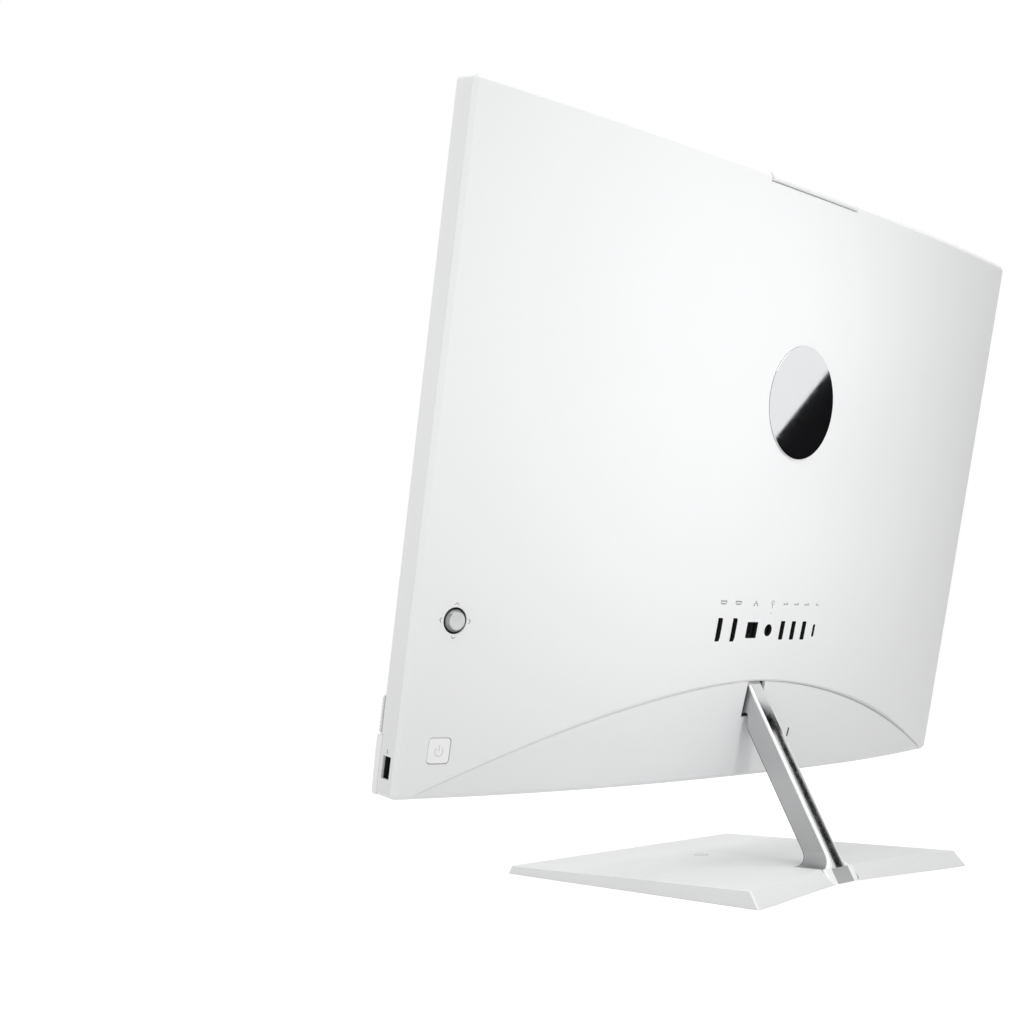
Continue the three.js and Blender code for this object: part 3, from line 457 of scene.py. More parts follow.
# ------------------------------------------------------------------ rear shell
def shell_vf():
    us = list(np.linspace(-(HW - 3.5), HW - 3.5, 105))
    vs = list(np.linspace(3.5, HEAD_H - 3.5, 69))
    K = 5

    def loop(e):
        """outline inset by e, starting at the lower left, with K segments round each corner"""
        r = max(3.5 - e, 0.0)
        pts = []
        x0, x1, z0, z1 = -(HW - e), HW - e, e, HEAD_H - e
        for side in range(4):
            if side == 0:
                pts += [(u, z0) for u in us]
                c, a0 = (HW - 3.5, 3.5), -90
            elif side == 1:
                pts += [(x1, v) for v in vs]
                c, a0 = (HW - 3.5, HEAD_H - 3.5), 0
            elif side == 2:
                pts += [(u, z1) for u in reversed(us)]
                c, a0 = (-(HW - 3.5), HEAD_H - 3.5), 90
            else:
                pts += [(x0, v) for v in reversed(vs)]
                c, a0 = (-(HW - 3.5), 3.5), 180
            for k in range(1, K):
                a = math.radians(a0 + 90 * k / K)
                pts.append((c[0] + r * math.cos(a), c[1] + r * math.sin(a)))
        return pts

    V, F = [], []
    outer_e = [0.0, 0.5, 1.2, 1.9, 2.3, 2.7, 3.1]
    rings = []

    def add_ring(pts3):
        s = len(V)
        V.extend(pts3)
        rings.append(list(range(s, s + len(pts3))))

    L0 = loop(0)
    # front rim, inner edge to outer edge, then up the sides with a small radius, then the bevel band
    inner = loop(1.8)
    add_ring([(u, depth(*p) - 2.9, v) for (u, v), p in zip(inner, inner)])     # back of the inner side wall
    add_ring([(u, 0.0, v) for u, v in inner])
    add_ring([(u, 0.0, v) for u, v in loop(0.35)])
    add_ring([(u, 0.1, v) for u, v in loop(0.1)])
    add_ring([(u, 0.35, v) for u, v in L0])
    for y in (4.0, 8.0):
        add_ring([(u, y, v) for u, v in L0])
    for e in outer_e:
        add_ring([(u, depth(u, v), v) for u, v in loop(e)])
    n = len(L0)
    for a, b in zip(rings, rings[1:]):
        for i in range(n):
            j = (i + 1) % n
            F.append((a[i], a[j], b[j], b[i]))

    def close(ring, off, reverse):
        """fills a ring with the grid whose border is the outline inset by 3.5"""
        s = len(V)
        nu, nv = len(us), len(vs)
        for v in vs:
            for u in us:
                V.append((u, (depth(u, v) if not off else dome(u, v) - off), v))
        at = lambda i, j: s + j * nu + i
        for j in range(nv - 1):
            for i in range(nu - 1):
                q = (at(i, j), at(i, j + 1), at(i + 1, j + 1), at(i + 1, j))
                F.append(tuple(reversed(q)) if reverse else q)
        border = []
        for i in range(nu):
            border.append(at(i, 0))
        border += [at(nu - 1, 0)] * (K - 1)
        for j in range(nv):
            border.append(at(nu - 1, j))
        border += [at(nu - 1, nv - 1)] * (K - 1)
        for i in reversed(range(nu)):
            border.append(at(i, nv - 1))
        border += [at(0, nv - 1)] * (K - 1)
        for j in reversed(range(nv)):
            border.append(at(0, j))
        border += [at(0, 0)] * (K - 1)
        for i in range(n):
            j = (i + 1) % n
            q = [ring[i], ring[j], border[j], border[i]]
            q = [x for k, x in enumerate(q) if x not in q[:k]]
            if len(q) > 2:
                F.append(tuple(reversed(q)) if reverse else tuple(q))

    close(rings[-1], 0, False)
    close(rings[0], 2.4, True)
    return V, F


ROW_V = 105.4
HDMI_U, USB_U, LAN_U, USBC_U = (56.3, 40.0), (-16.7, -30.3, -43.9), 19.4, -57.4
BADGE_F, BUTTON_F, STICK_F = surface_frame(0, 260), surface_frame(277.5, 29), surface_frame(278.2, 105.5)


def hdmi_pts(w, h, cu):
    x0, x1, z0, z1 = cu - w / 2, cu + w / 2, ROW_V - h / 2, ROW_V + h / 2
    return [(x0, z0 + 2.6), (x0 + 0.9, z0), (x1, z0), (x1, z1), (x0 + 0.9, z1), (x0, z1 - 1.2)]


def arc_prism(half, rise, y0, y1, n=160, low=-5):
    pts = [(-half, low), (half, low)]
    for k in range(n + 1):
        u = half * math.cos(math.pi * k / n)
        pts.append((u, arc(u) + rise))
    return prism_vf(pts, y0, y1)


def groove_vf(width, deep, n=220, half=290.5):
    """a V channel run along the seam in the dome"""
    rings = []
    for k in range(n + 1):
        u = -half + 2 * half * k / n
        v = arc(u)
        p = Vector((u, dome(u, v), v))
        nn = depth_normal(u, v, dome)
        t = (Vector((u + 0.1, dome(u + 0.1, arc(u + 0.1)), arc(u + 0.1))) - Vector((u - 0.1, dome(u - 0.1, arc(u - 0.1)), arc(u - 0.1)))).normalized()
        s = nn.cross(t).normalized()
        # s points down across the seam; the upper flank is long and soft, the lower one short
        if s.z > 0:
            s = -s
        k2 = min(1.0, 0.45 + 0.55 * min(1.0, abs(u) / 200.0))
        k2 *= 0.3 + 0.7 * min(1.0, (half + 0.5 - abs(u)) / 120.0)
        w, dd = width * k2, deep * k2
        prof = [(-w, 0.0), (-w * 0.62, -dd * 0.10), (-w * 0.34, -dd * 0.34), (-w * 0.12, -dd * 0.72), (0.25, -dd), (0.6, -dd), (0.9, 0.4), (-w - 0.4, 0.4)]
        rings.append([tuple(p + s * a + nn * h) for a, h in prof])
    return grid_solid(rings)


def chamfer_cut(pts, m, size, y_top=0.0):
    """a flared mouth round an opening: pts at the surface grown by size, down to pts at depth size"""
    n = len(pts)
    c = (sum(p[0] for p in pts) / n, sum(p[1] for p in pts) / n)
    rings = []
    for k, (dy, g) in enumerate(((-size, 0.0), (0.02, size), (0.6, size + 0.02))):
        ring = []
        for x, z in pts:
            dx, dz = x - c[0], z - c[1]
            L = math.hypot(dx, dz)
            ring.append(tuple(m @ Vector((x + dx / L * g, y_top + dy, z + dz / L * g))))
        rings.append(ring)
    return grid_solid(rings)


V, F = shell_vf()
shell = mesh_obj("rear_shell", V, F, ["shell", "gap", "inner_white", "cavity", "seam_shade_soft", "seam_shade_deep", "shell_side_shade"])
fix_normals(shell)
flat_at = lambda u: surface_frame(u, ROW_V)
holes = [
    prism_vf([(-320, -5), (320, -5), (320, 36.1), (-320, 36.1)], -5, 1.3),
    prism_vf([(-51.2, 395.6), (51.2, 395.6), (51.2, 410), (-51.2, 410)], 14.9, 60),
    *[prism_vf(hdmi_pts(5.2, 16, u), 35, 55) for u in HDMI_U],
    *[prism_vf(rrect(5.1, 13.2, 0.5, u, ROW_V, 3), 35, 55) for u in USB_U],
    prism_vf(rrect(2.9, 9.2, 1.3, USBC_U, ROW_V, 6), 35, 55),
    prism_vf(rrect(12.2, 11.2, 0.5, LAN_U, ROW_V, 3), 35, 55),
    prism_vf(circle(4.3, 40, 0, ROW_V), 35, 55),
    tf(prism_vf(circle(38.05, 128), -0.8, 6), BADGE_F),
    tf(prism_vf(rrect(16, 16, 2.5), -8, 5), BUTTON_F),
    tf(prism_vf(circle(7.8, 64), -8, 5), STICK_F),
    box_vf(300, 310, 3.7, 10.2, 11, 24.4),
    box_vf(305.4, 306, 6.45, 7.15, 25.85, 28.55), 
]
for k in range(7):
    for s in (-1, 1):
        c = s * (82 + 27 * k)
        holes.append(prism_vf([(x, y) for x, y in rrect(21, 2.8, 1.39, c, 14.9, 6)], 395, 410))
        v_, f_ = holes[-1]
        holes[-1] = ([(x, z, y) for x, y, z in v_], f_)     # drawn in x, y and run up through the top wall
boolean(shell, holes)
boolean(shell, [groove_vf(2.9, 0.85)])
# softened edges of the camera notch
D0 = lambda u: dome(u, 395.6)
us_ = list(np.linspace(-52.4, 52.4, 41))
boolean(shell, [grid_solid([[(u, D0(u) - 0.75, 395.75), (u, D0(u) + 0.5, 395.75), (u, D0(u) + 0.5, 394.1), (u, D0(u) + 0.06, 394.3), (u, D0(u) - 0.3, 394.9)] for u in us_])])
for s_ in (-1, 1):
    boolean(shell, [grid_solid([[(s_ * 51.1, dome(51, v) - 3.2, v), (s_ * 51.1, dome(51, v) + 0.5, v), (s_ * 52.5, dome(51, v) + 0.5, v), (s_ * 52.3, dome(51, v) + 0.02 - (0.8 * max(0, 2.5 - (401 - v))), v)] for v in (395.0, 397.5, 398.5, 400.0, 402.0)])])
boolean(shell, [arc_prism(292.2, 0.08, 12, 80)])


def dome_face(c, n, p):
    if n.y > 0.15 and c.y > 10 and abs(c.y - depth(c.x, c.z)) < 0.12 and n.dot(depth_normal(c.x, c.z)) > 0.985:
        return depth_normal(p.x, p.z)
    return None


def shade_shell(o, fn):
    me = o.data
    me.polygons.foreach_set("use_smooth", [True] * len(me.polygons))
    me.set_sharp_from_angle(angle=math.radians(28))
    set_custom(o, fn)


def rotate_normals_after(o, m, fn, angle=28):
    """own normals are worked out in local millimetres, then turned with the mesh"""
    me = o.data
    me.polygons.foreach_set("use_smooth", [True] * len(me.polygons))
    me.set_sharp_from_angle(angle=math.radians(angle))
    rot = m.to_3x3()
    out = []
    for p in me.polygons:
        c, n = Vector(p.center), Vector(p.normal)
        for li in p.loop_indices:
            r = fn(c, n, Vector(me.vertices[me.loops[li].vertex_index].co))
            out.append(tuple((rot @ r).normalized()) if r is not None else (0.0, 0.0, 0.0))
    me.transform(m)
    me.transform(Matrix.Scale(0.001, 4))
    me.update()
    me.normals_split_custom_set(out)


# faces of the inside get their own finish; the socket walls get the cavity near black and the seam groove two greys
# lighter towards +X, both painted shade; the side walls get the white painted darker towards the bottom
for p in shell.data.polygons:
    c, n = p.center, p.normal
    if n.y < -0.2 and c.y > 5:
        p.material_index = 2
    elif abs(n.y) < 0.5 and 97 < c.z < 114 and abs(c.x) < 62 and 36 < c.y < dome(c.x, c.z) - 0.05:
        p.material_index = 3
    elif c.z > 394 and abs(c.x) < 53 and n.y > 0.15 and n.dot(depth_normal(c.x, c.z)) < 0.985 and c.y > 20:
        p.material_index = 0
    elif abs(c.x) < 291 and -0.6 < c.z - arc(c.x) < 4.5 and n.y > 0.1 and 0.01 < dome(c.x, c.z) - c.y < 1.2 and c.z > 3.5:
        shallow = dome(c.x, c.z) - c.y < 0.24
        p.material_index = 4 if shallow else 5
    elif abs(n.x) > 0.93 and abs(c.x) > 303:
        p.material_index = 6
rotate_normals_after(shell, HEAD, dome_face)
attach(shell, "head"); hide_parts("rear_cover")


# ------------------------------------------------------------------ lower rear cover
def lower_vf():
    rec = 0.45
    rings = []
    half = 291.8
    n = 240
    for k in range(n + 1):
        # closer together towards the ends, where the panel runs out
        t = -1 + 2 * k / n
        u = half * math.sin(t * math.pi / 2) * 0.5 + half * t * 0.5
        a = arc(u) - 0.1
        top = a
        ys = []
        f = lambda v: depth(u, v) - rec
        zz = [0.35, 0.9, 1.6, 2.2, 2.6, 3.0]
        zz = [min(z, top * (0.15 + 0.12 * i)) for i, z in enumerate(zz)]
        body = [zz[-1] + (top - 0.6 - zz[-1]) * j / 9 for j in range(1, 10)] if top > 6 else [zz[-1] + (top * 0.9 - zz[-1]) * j / 9 for j in range(1, 10)]
        back = [(f(0.0), 0.0)] + [(f(z), z) for z in zz] + [(f(z), z) for z in body]
        lip = min(0.5, top * 0.08)
        back.append((f(top) - lip, top))
        inner_top = (f(top) - 2.4, top)
        z_in = min(1.8, top * 0.6)
        inner_mid = (f(top) - 2.4 if top < 6 else depth(u, max(z_in, 5.0)) - rec - 2.4, z_in)
        loop = [(12.3, 0.0)] + back + [inner_top, inner_mid, (12.3, z_in)]
        rings.append([(u, y, z) for y, z in loop])
    return grid_solid(rings)


V, F = lower_vf()
lower = mesh_obj("lower_panel", V, F, ["shell_low", "inner_white", "cavity"])
fix_normals(lower)
cuts = [box_vf(-10.3, 10.3, 25, 60, 44, 80), tf(prism_vf(rrect(1.7, 6.6, 0.6, -53.5, 30.4, 4), 25, 60), Matrix.Identity(4))]
for k in range(6):
    for s in (-1, 1):
        c = s * (40 + 27 * k)
        v_, f_ = prism_vf(rrect(21, 2.8, 1.39, c, 17.4, 6), -5, 5)
        cuts.append(([(x, z, y) for x, y, z in v_], f_))
boolean(lower, cuts)


def low_depth(u, v):
    return depth(u, v) - 0.45


def low_face(c, n, p):
    if n.y > 0.15 and c.y > 10 and abs(c.y - low_depth(c.x, c.z)) < 0.12 and n.dot(depth_normal(c.x, c.z)) > 0.97 and arc(c.x) - c.z > 0.75:
        return depth_normal(p.x, p.z)
    return None


# the lock slot's walls take the cavity near black: painted shade
for p in lower.data.polygons:
    c = p.center
    if p.normal.y < -0.2:
        p.material_index = 1
    elif -55 < c.x < -52 and 26.5 < c.z < 34 and abs(p.normal.y) < 0.5 and c.y > 20:
        p.material_index = 2
rotate_normals_after(lower, HEAD, low_face)
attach(lower, "head"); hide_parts("lower_rear_cover")


# ------------------------------------------------------------------ camera module
def cam_vf():
    """cap with softly rounded long edges and ends"""
    rings = []
    half = 50.8
    ends = [(0.0, 0.9), (0.12, 0.5), (0.35, 0.22), (0.7, 0.05), (1.1, 0.0)]
    us = [-half + a for a, _ in ends] + list(np.linspace(-half + 2, half - 2, 56)) + [half - a for a, _ in reversed(ends)]
    es = [b for _, b in ends] + [0.0] * 56 + [b for _, b in reversed(ends)]
    for u, edge in zip(us, es):
        top = 401.7
        g = lambda v: dome(u, min(v, 401)) + 0.75 - 0.85 * softplus(2.7 - (top - v), 0.35) - edge
        zs = [396.15, 396.2, 396.4, 396.75, 397.2, 397.8, 398.4, 398.9, 399.4, 400.0, 400.7, 401.2, 401.5, 401.7]
        drop = [1.5, 1.0, 0.7, 0.4, 0.16, 0.03, 0, 0, 0, 0, 0, 0.06, 0.2, 0.6]
        back = [(g(z) - d, min(z, top - edge * 0.6)) for z, d in zip(zs, drop)]
        loop = [(15.5 + edge * 0.3, 396.15)] + back + [(16.2, top - edge * 0.6), (15.7 + edge * 0.3, 401.45 - edge * 0.5), (15.5 + edge * 0.3, 401.0 - edge * 0.5)]
        rings.append([(u, y, z) for y, z in loop])
    return grid_solid(rings)


V, F = cam_vf()
cap = mesh_obj("camera_cap", V, F, ["shell_hi", "cap_gap_shade"])
# the cap's lower band and ends, down in the gap, take the darker white: painted shade
for p in cap.data.polygons:
    if p.center.z < 397.3 or abs(p.center.x) > 50.1:
        p.material_index = 1
cap.data.transform(HEAD)
cap.data.polygons.foreach_set("use_smooth", [True] * len(cap.data.polygons))
cap.data.set_sharp_from_angle(angle=math.radians(40))
fix_normals(cap)
place(cap, "camera", "white_shell", "camera_module")
v1 = prism_vf(rrect(90, 35, 2.0, 0, 379.5, 5), 15.4, 26)
body = mesh_obj("camera_body", *v1, ["shell", "grey_plastic"])
fix_normals(body)
boolean(body, [prism_vf(circle(4.2, 48, 0, 386), 14, 19), prism_vf(circle(1.6, 24, 14, 386), 14, 16.5), prism_vf(circle(1.6, 24, -14, 386), 14, 16.5)])
body.data.transform(HEAD)
body.data.polygons.foreach_set("use_smooth", [True] * len(body.data.polygons))
body.data.set_sharp_from_angle(angle=math.radians(30))
bv = body.modifiers.new("b", "BEVEL"); bv.width = 0.0003; bv.segments = 2; bv.limit_method = "ANGLE"; bv.angle_limit = math.radians(50); bv.harden_normals = True
place(body, "camera", "white_shell")
for u in (-14, 14):
    d = mesh_obj(f"camera_port_{'a' if u < 0 else 'b'}", *lathe([(0, 15.9), (1.5, 15.9), (1.5, 16.4), (0, 16.4)], 24, Matrix.Translation((u, 0, 386))), ["lens"], HEAD, smooth=30)
    place(d, "camera", "black_plastic")

# ------------------------------------------------------------------ badge, plain disc
prof = [(0, -0.5), (37.75, -0.5), (37.75, 0.05), (37.65, 0.24), (37.35, 0.35), (36.9, 0.35)] + [(r, 0.35) for r in (30, 20, 10)] + [(0, 0.35)]
badge = mesh_obj("rear_badge_disc", *lathe(prof, 128, BADGE_F), ["chrome"], HEAD, smooth=20)
fix_normals(badge)
place(badge, "head", "bright_chrome", "rear_badge")


# ------------------------------------------------------------------ power button
def plate(w, h, r, y_low, y_top, bev, seg=8):
    rings = []
    for y, e in ((y_low, 0), (y_top - bev, 0), (y_top - bev * 0.62, bev * 0.1), (y_top - bev * 0.28, bev * 0.32), (y_top - bev * 0.07, bev * 0.66), (y_top, bev), (y_top - 0.02, bev + 0.6), (y_top - 0.09, bev + 1.8), (y_top - 0.17, bev + 3.4), (y_top - 0.21, bev + 5.0), (y_top - 0.22, bev + 6.2)):
        rings.append([(x, y, z) for x, z in rrect(w - 2 * e, h - 2 * e, max(r - e, 0.15), 0, 0, seg)])
    return grid_solid(rings)


v1 = plate(15.2, 15.2, 2.3, -3.0, 0.0, 0.6)
v2 = prism_vf(rrect(18.6, 18.6, 2.5), -3.5, -3.0)
btn = mesh_obj("power_button_cap", *merge([v1, v2]), ["button_face"], HEAD @ BUTTON_F, smooth=32)
fix_normals(btn)
place(btn, "power_button", "white_shell", "power_button")


def ring_arc(r0, r1, a0, a1, y0, y1, seg=40):
    outer = [(r1 * math.cos(a), r1 * math.sin(a)) for a in np.linspace(a0, a1, seg)]
    inner = [(r0 * math.cos(a), r0 * math.sin(a)) for a in np.linspace(a1, a0, seg)]
    pts = outer + inner
    return prism_vf(pts, y0, y1)


sym = merge([tf(ring_arc(2.5, 3.1, math.radians(130), math.radians(410), -0.25, -0.10), Matrix.Translation((0, 0, -0.4))),
             prism_vf(rrect(0.62, 3.9, 0.3, 0, 1.7, 3), -0.25, -0.10)])
o = mesh_obj("power_button_mark", *sym, ["mark_faint"], HEAD @ BUTTON_F)
fix_normals(o)
place(o, "power_button", "light_grey_plastic")

# ------------------------------------------------------------------ five-way stick
knob_prof = [(0, -3.8), (1.2, -3.8), (1.2, -1.6), (6.5, -1.6), (6.75, -1.4), (6.85, -1.0), (6.8, -0.5), (6.6, 0.1), (6.3, 0.7), (5.95, 1.3), (5.65, 1.8), (5.4, 2.1), (5.15, 2.28), (4.85, 2.36), (4.4, 2.35), (3.0, 2.29), (1.5, 2.25), (0, 2.24)]
knob = mesh_obj("stick_knob_cap", *lathe(knob_prof, 72), ["knob", "flank"], HEAD @ STICK_F, smooth=50)
ax = (HEAD @ STICK_F).to_3x3() @ Vector((0, 1, 0))
# the knob's side takes the darker flank metal: painted shade
for p in knob.data.polygons:
    if abs(p.normal.dot(ax)) < 0.86:
        p.material_index = 1
fix_normals(knob)
place(knob, "stick_knob", "bright_chrome", "stick_knob")
# black well ring just inside the hole, its black a painted shade deep in the gap round the knob
well = lathe([(7.75, -4.2), (7.75, -1.0), (7.5, -1.0), (7.5, -4.2)], 64)
v_, f_ = well
n64 = 64
f_ = f_ + [(k + 3 * n64, (k + 1) % n64 + 3 * n64, (k + 1) % n64, k) for k in range(n64)]
o = mesh_obj("stick_well", v_, f_, ["black"], HEAD @ STICK_F, smooth=30)
fix_normals(o)
place(o, "head", "black_plastic")


def chevron(a, r=10.0):
    w, t, h = 1.45, 0.5, 1.15
    pts = [(-w, 0), (0, h), (w, 0), (w, -t), (0, h - t * 1.15), (-w, -t)]
    pts = [(x, z + r - 0.5) for x, z in pts]
    ca, sa = math.cos(a), math.sin(a)
    return prism_vf([(x * ca - z * sa, x * sa + z * ca) for x, z in pts], -0.02, 0.04)


o = mesh_obj("stick_marks", *merge([chevron(math.radians(a)) for a in (0, 90, 180, 270)]), ["mark"], HEAD @ STICK_F)
fix_normals(o)
place(o, "head", "light_grey_plastic")


# ------------------------------------------------------------------ small marks over the sockets
def on_dome(pts, y0=-0.03, y1=0.05, matrix_u=0.0, matrix_v=0.0):
    return tf(prism_vf(pts, y0, y1), surface_frame(matrix_u, matrix_v))


marks = []
MV = 123.8


def bar(u, v, w, h):
    marks.append(on_dome(rrect(w, h, min(w, h) * 0.3, 0, 0, 2), matrix_u=u, matrix_v=v))


for u in (56.2, 39.9):
    bar(u, MV + 0.9, 6.8, 0.9); bar(u, MV - 0.9, 5.0, 0.9); bar(u - 2.9, MV, 0.7, 1.2); bar(u + 2.9, MV, 0.7, 1.2)
bar(19.9, MV + 1.0, 1.5, 1.3); bar(19.9, MV - 0.15, 4.6, 0.55); bar(18.0, MV - 1.2, 1.3, 1.2); bar(21.8, MV - 1.2, 1.3, 1.2)
marks.append(tf(ring_arc(1.05, 1.55, 0.0, 2 * math.pi - 0.001, -0.03, 0.05, 24), surface_frame(0.1, MV + 0.8)))
bar(0.1, MV - 1.9, 0.7, 2.2)
for u in (-16.2, -29.7, -42.9):
    bar(u, MV, 4.4, 0.6); bar(u + 2.4, MV, 1.2, 1.2); bar(u - 1.2, MV + 0.8, 1.8, 0.5)
bar(-56.8, MV, 3.2, 0.6); bar(-55.4, MV + 0.8, 0.7, 1.4)
marks.append(on_dome(circle(0.45, 16), matrix_u=0, matrix_v=117.3))
o = mesh_obj("socket_marks", *merge(marks), ["mark"], HEAD)
fix_normals(o)
place(o, "head", "light_grey_plastic")
# mark over the side socket
side = [(-1.6, 0), (1.6, 0)]
v_, f_ = prism_vf(rrect(0.6, 2.6, 0.2, 6.8, 27.2, 2), 0, 1)
v_ = [(HW - 0.15 + y * 0.13, x, z) for x, y, z in v_]
o = mesh_obj("side_mark", v_, f_, ["mark"], HEAD)
fix_normals(o)
place(o, "head", "light_grey_plastic")


# ------------------------------------------------------------------ front: chin, grille, glass, frame
def extrude_x(profile, xs, mats, name, matrix, smooth=30, end_in=0.25):
    """profile in (y, z) run along x, with the two ends drawn in a little"""
    cy = sum(p[0] for p in profile) / len(profile)
    cz = sum(p[1] for p in profile) / len(profile)
    rings = []
    for k, x in enumerate(xs):
        e = end_in if k in (0, len(xs) - 1) else 0.0
        ring = []
        for y, z in profile:
            ring.append((x, y + (math.copysign(min(e, abs(cy - y)), cy - y)), z + math.copysign(min(e, abs(cz - z)), cz - z)))
        rings.append(ring)
    v, f = grid_solid(rings)
    o = mesh_obj(name, v, f, mats, matrix, smooth=smooth)
    fix_normals(o)
    return o


def round_profile(pts, r=0.5, seg=4):
    """rounds the corners of a closed polygon"""
    out = []
    n = len(pts)
    for i in range(n):
        p0, p1, p2 = Vector(pts[i - 1]), Vector(pts[i]), Vector(pts[(i + 1) % n])
        a, b = (p0 - p1), (p2 - p1)
        rr = min(r, a.length * 0.45, b.length * 0.45)
        A, B = p1 + a.normalized() * rr, p1 + b.normalized() * rr
        for k in range(seg + 1):
            t = k / seg
            q = A * (1 - t) ** 2 + p1 * 2 * t * (1 - t) + B * t * t
            out.append((q.x, q.y))
    return out


xs = [-HW, -HW + 0.25] + list(np.linspace(-HW + 6, HW - 6, 40)) + [HW - 0.25, HW]
chin_prof = round_profile([(0.95, 0.4), (-2.4, 0.4), (-3.2, 1.4), (-3.9, 24), (-3.9, 33.4), (-3.3, 35.6), (0.95, 35.6)], 0.9, 5)
o = extrude_x(chin_prof, xs, ["shell"], "chin_panel", HEAD, 34)
place(o, "head", "white_shell", "chin_cover")

# grille: fine louvres run across the width
lou = [(-0.9, 36.5), (-2.1, 36.5), (-2.45, 36.8)]
pitch = 2.25
z = 37.1
while z + pitch < 57.9:
    lou += [(-2.45, z), (-2.86, z + pitch * 0.18), (-2.98, z + pitch * 0.42), (-2.94, z + pitch * 0.62), (-2.6, z + pitch * 0.8), (-2.42, z + pitch * 0.9)]
    z += pitch
lou += [(-2.45, z), (-2.5, z + 0.25), (-2.2, 57.9), (-1.7, 58.3), (-0.9, 58.4)]
xs3 = [-305.1, -304.9] + list(np.linspace(-300, 300, 40)) + [304.9, 305.1]
rings = []
for k, q in enumerate(xs3):
    e = 0.2 if k in (0, len(xs3) - 1) else 0.0
    rings.append([(q, min(y + e, -0.9), zz) for y, zz in lou])
V, F = grid_solid(rings)
o = mesh_obj("speaker_louvres", V, F, ["fabric"], HEAD, smooth=36)
fix_normals(o)
place(o, "head", "speaker_fabric", "speaker_grille")


def bordered(name, x0, x1, y0, y1, z0, z1, bev, mats, body, slot, node):
    rings = []
    for y, e in ((y0, bev), (y0 + bev * 0.3, bev * 0.3), (y0 + bev, 0), (y1 - bev, 0), (y1 - bev * 0.3, bev * 0.3), (y1, bev)):
        rings.append([(x, y, z) for x, z in rrect((x1 - x0) - 2 * e, (z1 - z0) - 2 * e, 1.0, (x0 + x1) / 2, (z0 + z1) / 2, 5)])
    v, f = grid_solid(rings)
    o = mesh_obj(name, v, f, mats, HEAD, smooth=32)
    fix_normals(o)
    return place(o, body, slot, node)


bordered("screen_glass", -303.4, 303.4, 0.1, 1.3, 58.8, 398.9, 0.25, ["glass_black"], "head", "screen_glass", "display_glass")


# ------------------------------------------------------------------ neck
def base_top(y):
    return 6 + 5.2 * (y + 102.5) / 205


TAN, COS = math.tan(NECK_A), math.cos(NECK_A)
rear_line = lambda z: PIVOT_Y + 12.78 / COS + (PIVOT_Z - z) * TAN
front_line = lambda z: PIVOT_Y - 4.22 / COS + (PIVOT_Z - z) * TAN


def neck_ring(h, bevel=1.2, R=10.0):
    f = 0.0 if h >= R else (1.0 if h <= 0 else 1 - math.sqrt(max(0.0, 1 - (1 - h / R) ** 2)))
    w, fwd = 7.5 + 10 * f, 5.5 * f

    def meet(line):
        y = 60.0
        for _ in range(60):
            y = line(base_top(y) + h)
        return y
    rr, ff = meet(rear_line), meet(front_line) - fwd
    b = bevel
    mid = 6.35 + 4.2 * f
    c = 1.7
    s = [(w, ff + b), (w, rr - c - 0.3 * f), (w - c * 0.13, rr - c * 0.5 - 0.45 * f), (w - c * 0.5, rr - c * 0.13 - 0.4 * f), (w - c, rr - 0.35 * f), (mid - 0.65, rr)]
    left = [(-x, y) for x, y in reversed(s)]
    fr = [(-w + b * 0.13, ff + b * 0.5), (-w + b * 0.5, ff + b * 0.13), (-w + b, ff)]
    frr = [(-x, y) for x, y in reversed(fr)]
    return [(x, y, base_top(y) + h) for x, y in s + left + fr + frr]


hs = [-14, -6, -2, -0.4, 0, 0.05, 0.18, 0.4, 0.75, 1.2, 1.8, 2.6, 3.6, 4.8, 6.2, 7.8, 10, 20, 60, 100, 150]
V, F = grid_solid([neck_ring(h) for h in hs])
# rear middle: polished aluminium; rear chamfers and flare strips: the bevel white, a painted highlight; sides and front
# face: the side aluminium, painted shade; front chamfers: the darker front aluminium, painted shade; near the foot the
# rear middle takes the side aluminium, a painted grey reflection
strip = [1, 2, 2, 2, 2, 0, 2, 2, 2, 2, 1, 3, 3, 3, 1, 3, 3, 3]
low_strip = strip[:5] + [1] + strip[6:]
fm_ = [(low_strip if i < 72 else strip)[i % 18] for i in range(18 * (len(hs) - 1))] + [1, 1]
neck = mesh_obj("neck_bar", V, F, ["alu", "alu_side_shade", "bevel", "alu_front_shade"], face_mats=fm_)
fix_normals(neck)
# the top end, knuckle and forward notch
prof = [(16, -170), (16, 5.2), (10, 9.5), (2, 9.5), (-4.22, 5), (-16.4, 5), (-16.4, -11), (-4.27, -12), (0.9, -12.9), (1.6, -14.9), (-4.27, -25.2), (-16.4, -25.3), (-16.4, -170)]
prof = [(12.79, 5.2) if p == (16, 5.2) else p for p in prof]
prof[0:2] = [(16, -170), (16, 5.2), (12.79, 5.2)]
v_, f_ = prism_vf([(y, z) for y, z in prof], -40, 40)       # drawn as (x, z) and turned so that x runs across
v_ = [(y, x, z) for x, y, z in v_]
inv = Matrix.Translation((0, PIVOT_Y, PIVOT_Z)) @ Matrix.Rotation(NECK_A, 4, "X")
cut = tf((v_, f_), inv)
boolean(neck, [cut], "INTERSECT")
boolean(neck, [box_vf(-60, 60, -80, 120, 0.9, 260)], "INTERSECT")
boolean(neck, [tf(([(z, x, y) for x, y, z in prism_vf(circle(2.8, 40), -20, 20)[0]], prism_vf(circle(2.8, 40), -20, 20)[1]), inv)])
neck.data.transform(WORLD)
neck.data.polygons.foreach_set("use_smooth", [True] * len(neck.data.polygons))
neck.data.set_sharp_from_angle(angle=math.radians(38))
set_custom(neck, lambda c, n, p: n if ((abs(n.x) > 0.995 and c.z - base_top(c.y - DY) > 9) or (abs(n.x) < 0.004 and n.y > 0.5)) else None)
place(neck, "stand", "satin_aluminium", "neck")
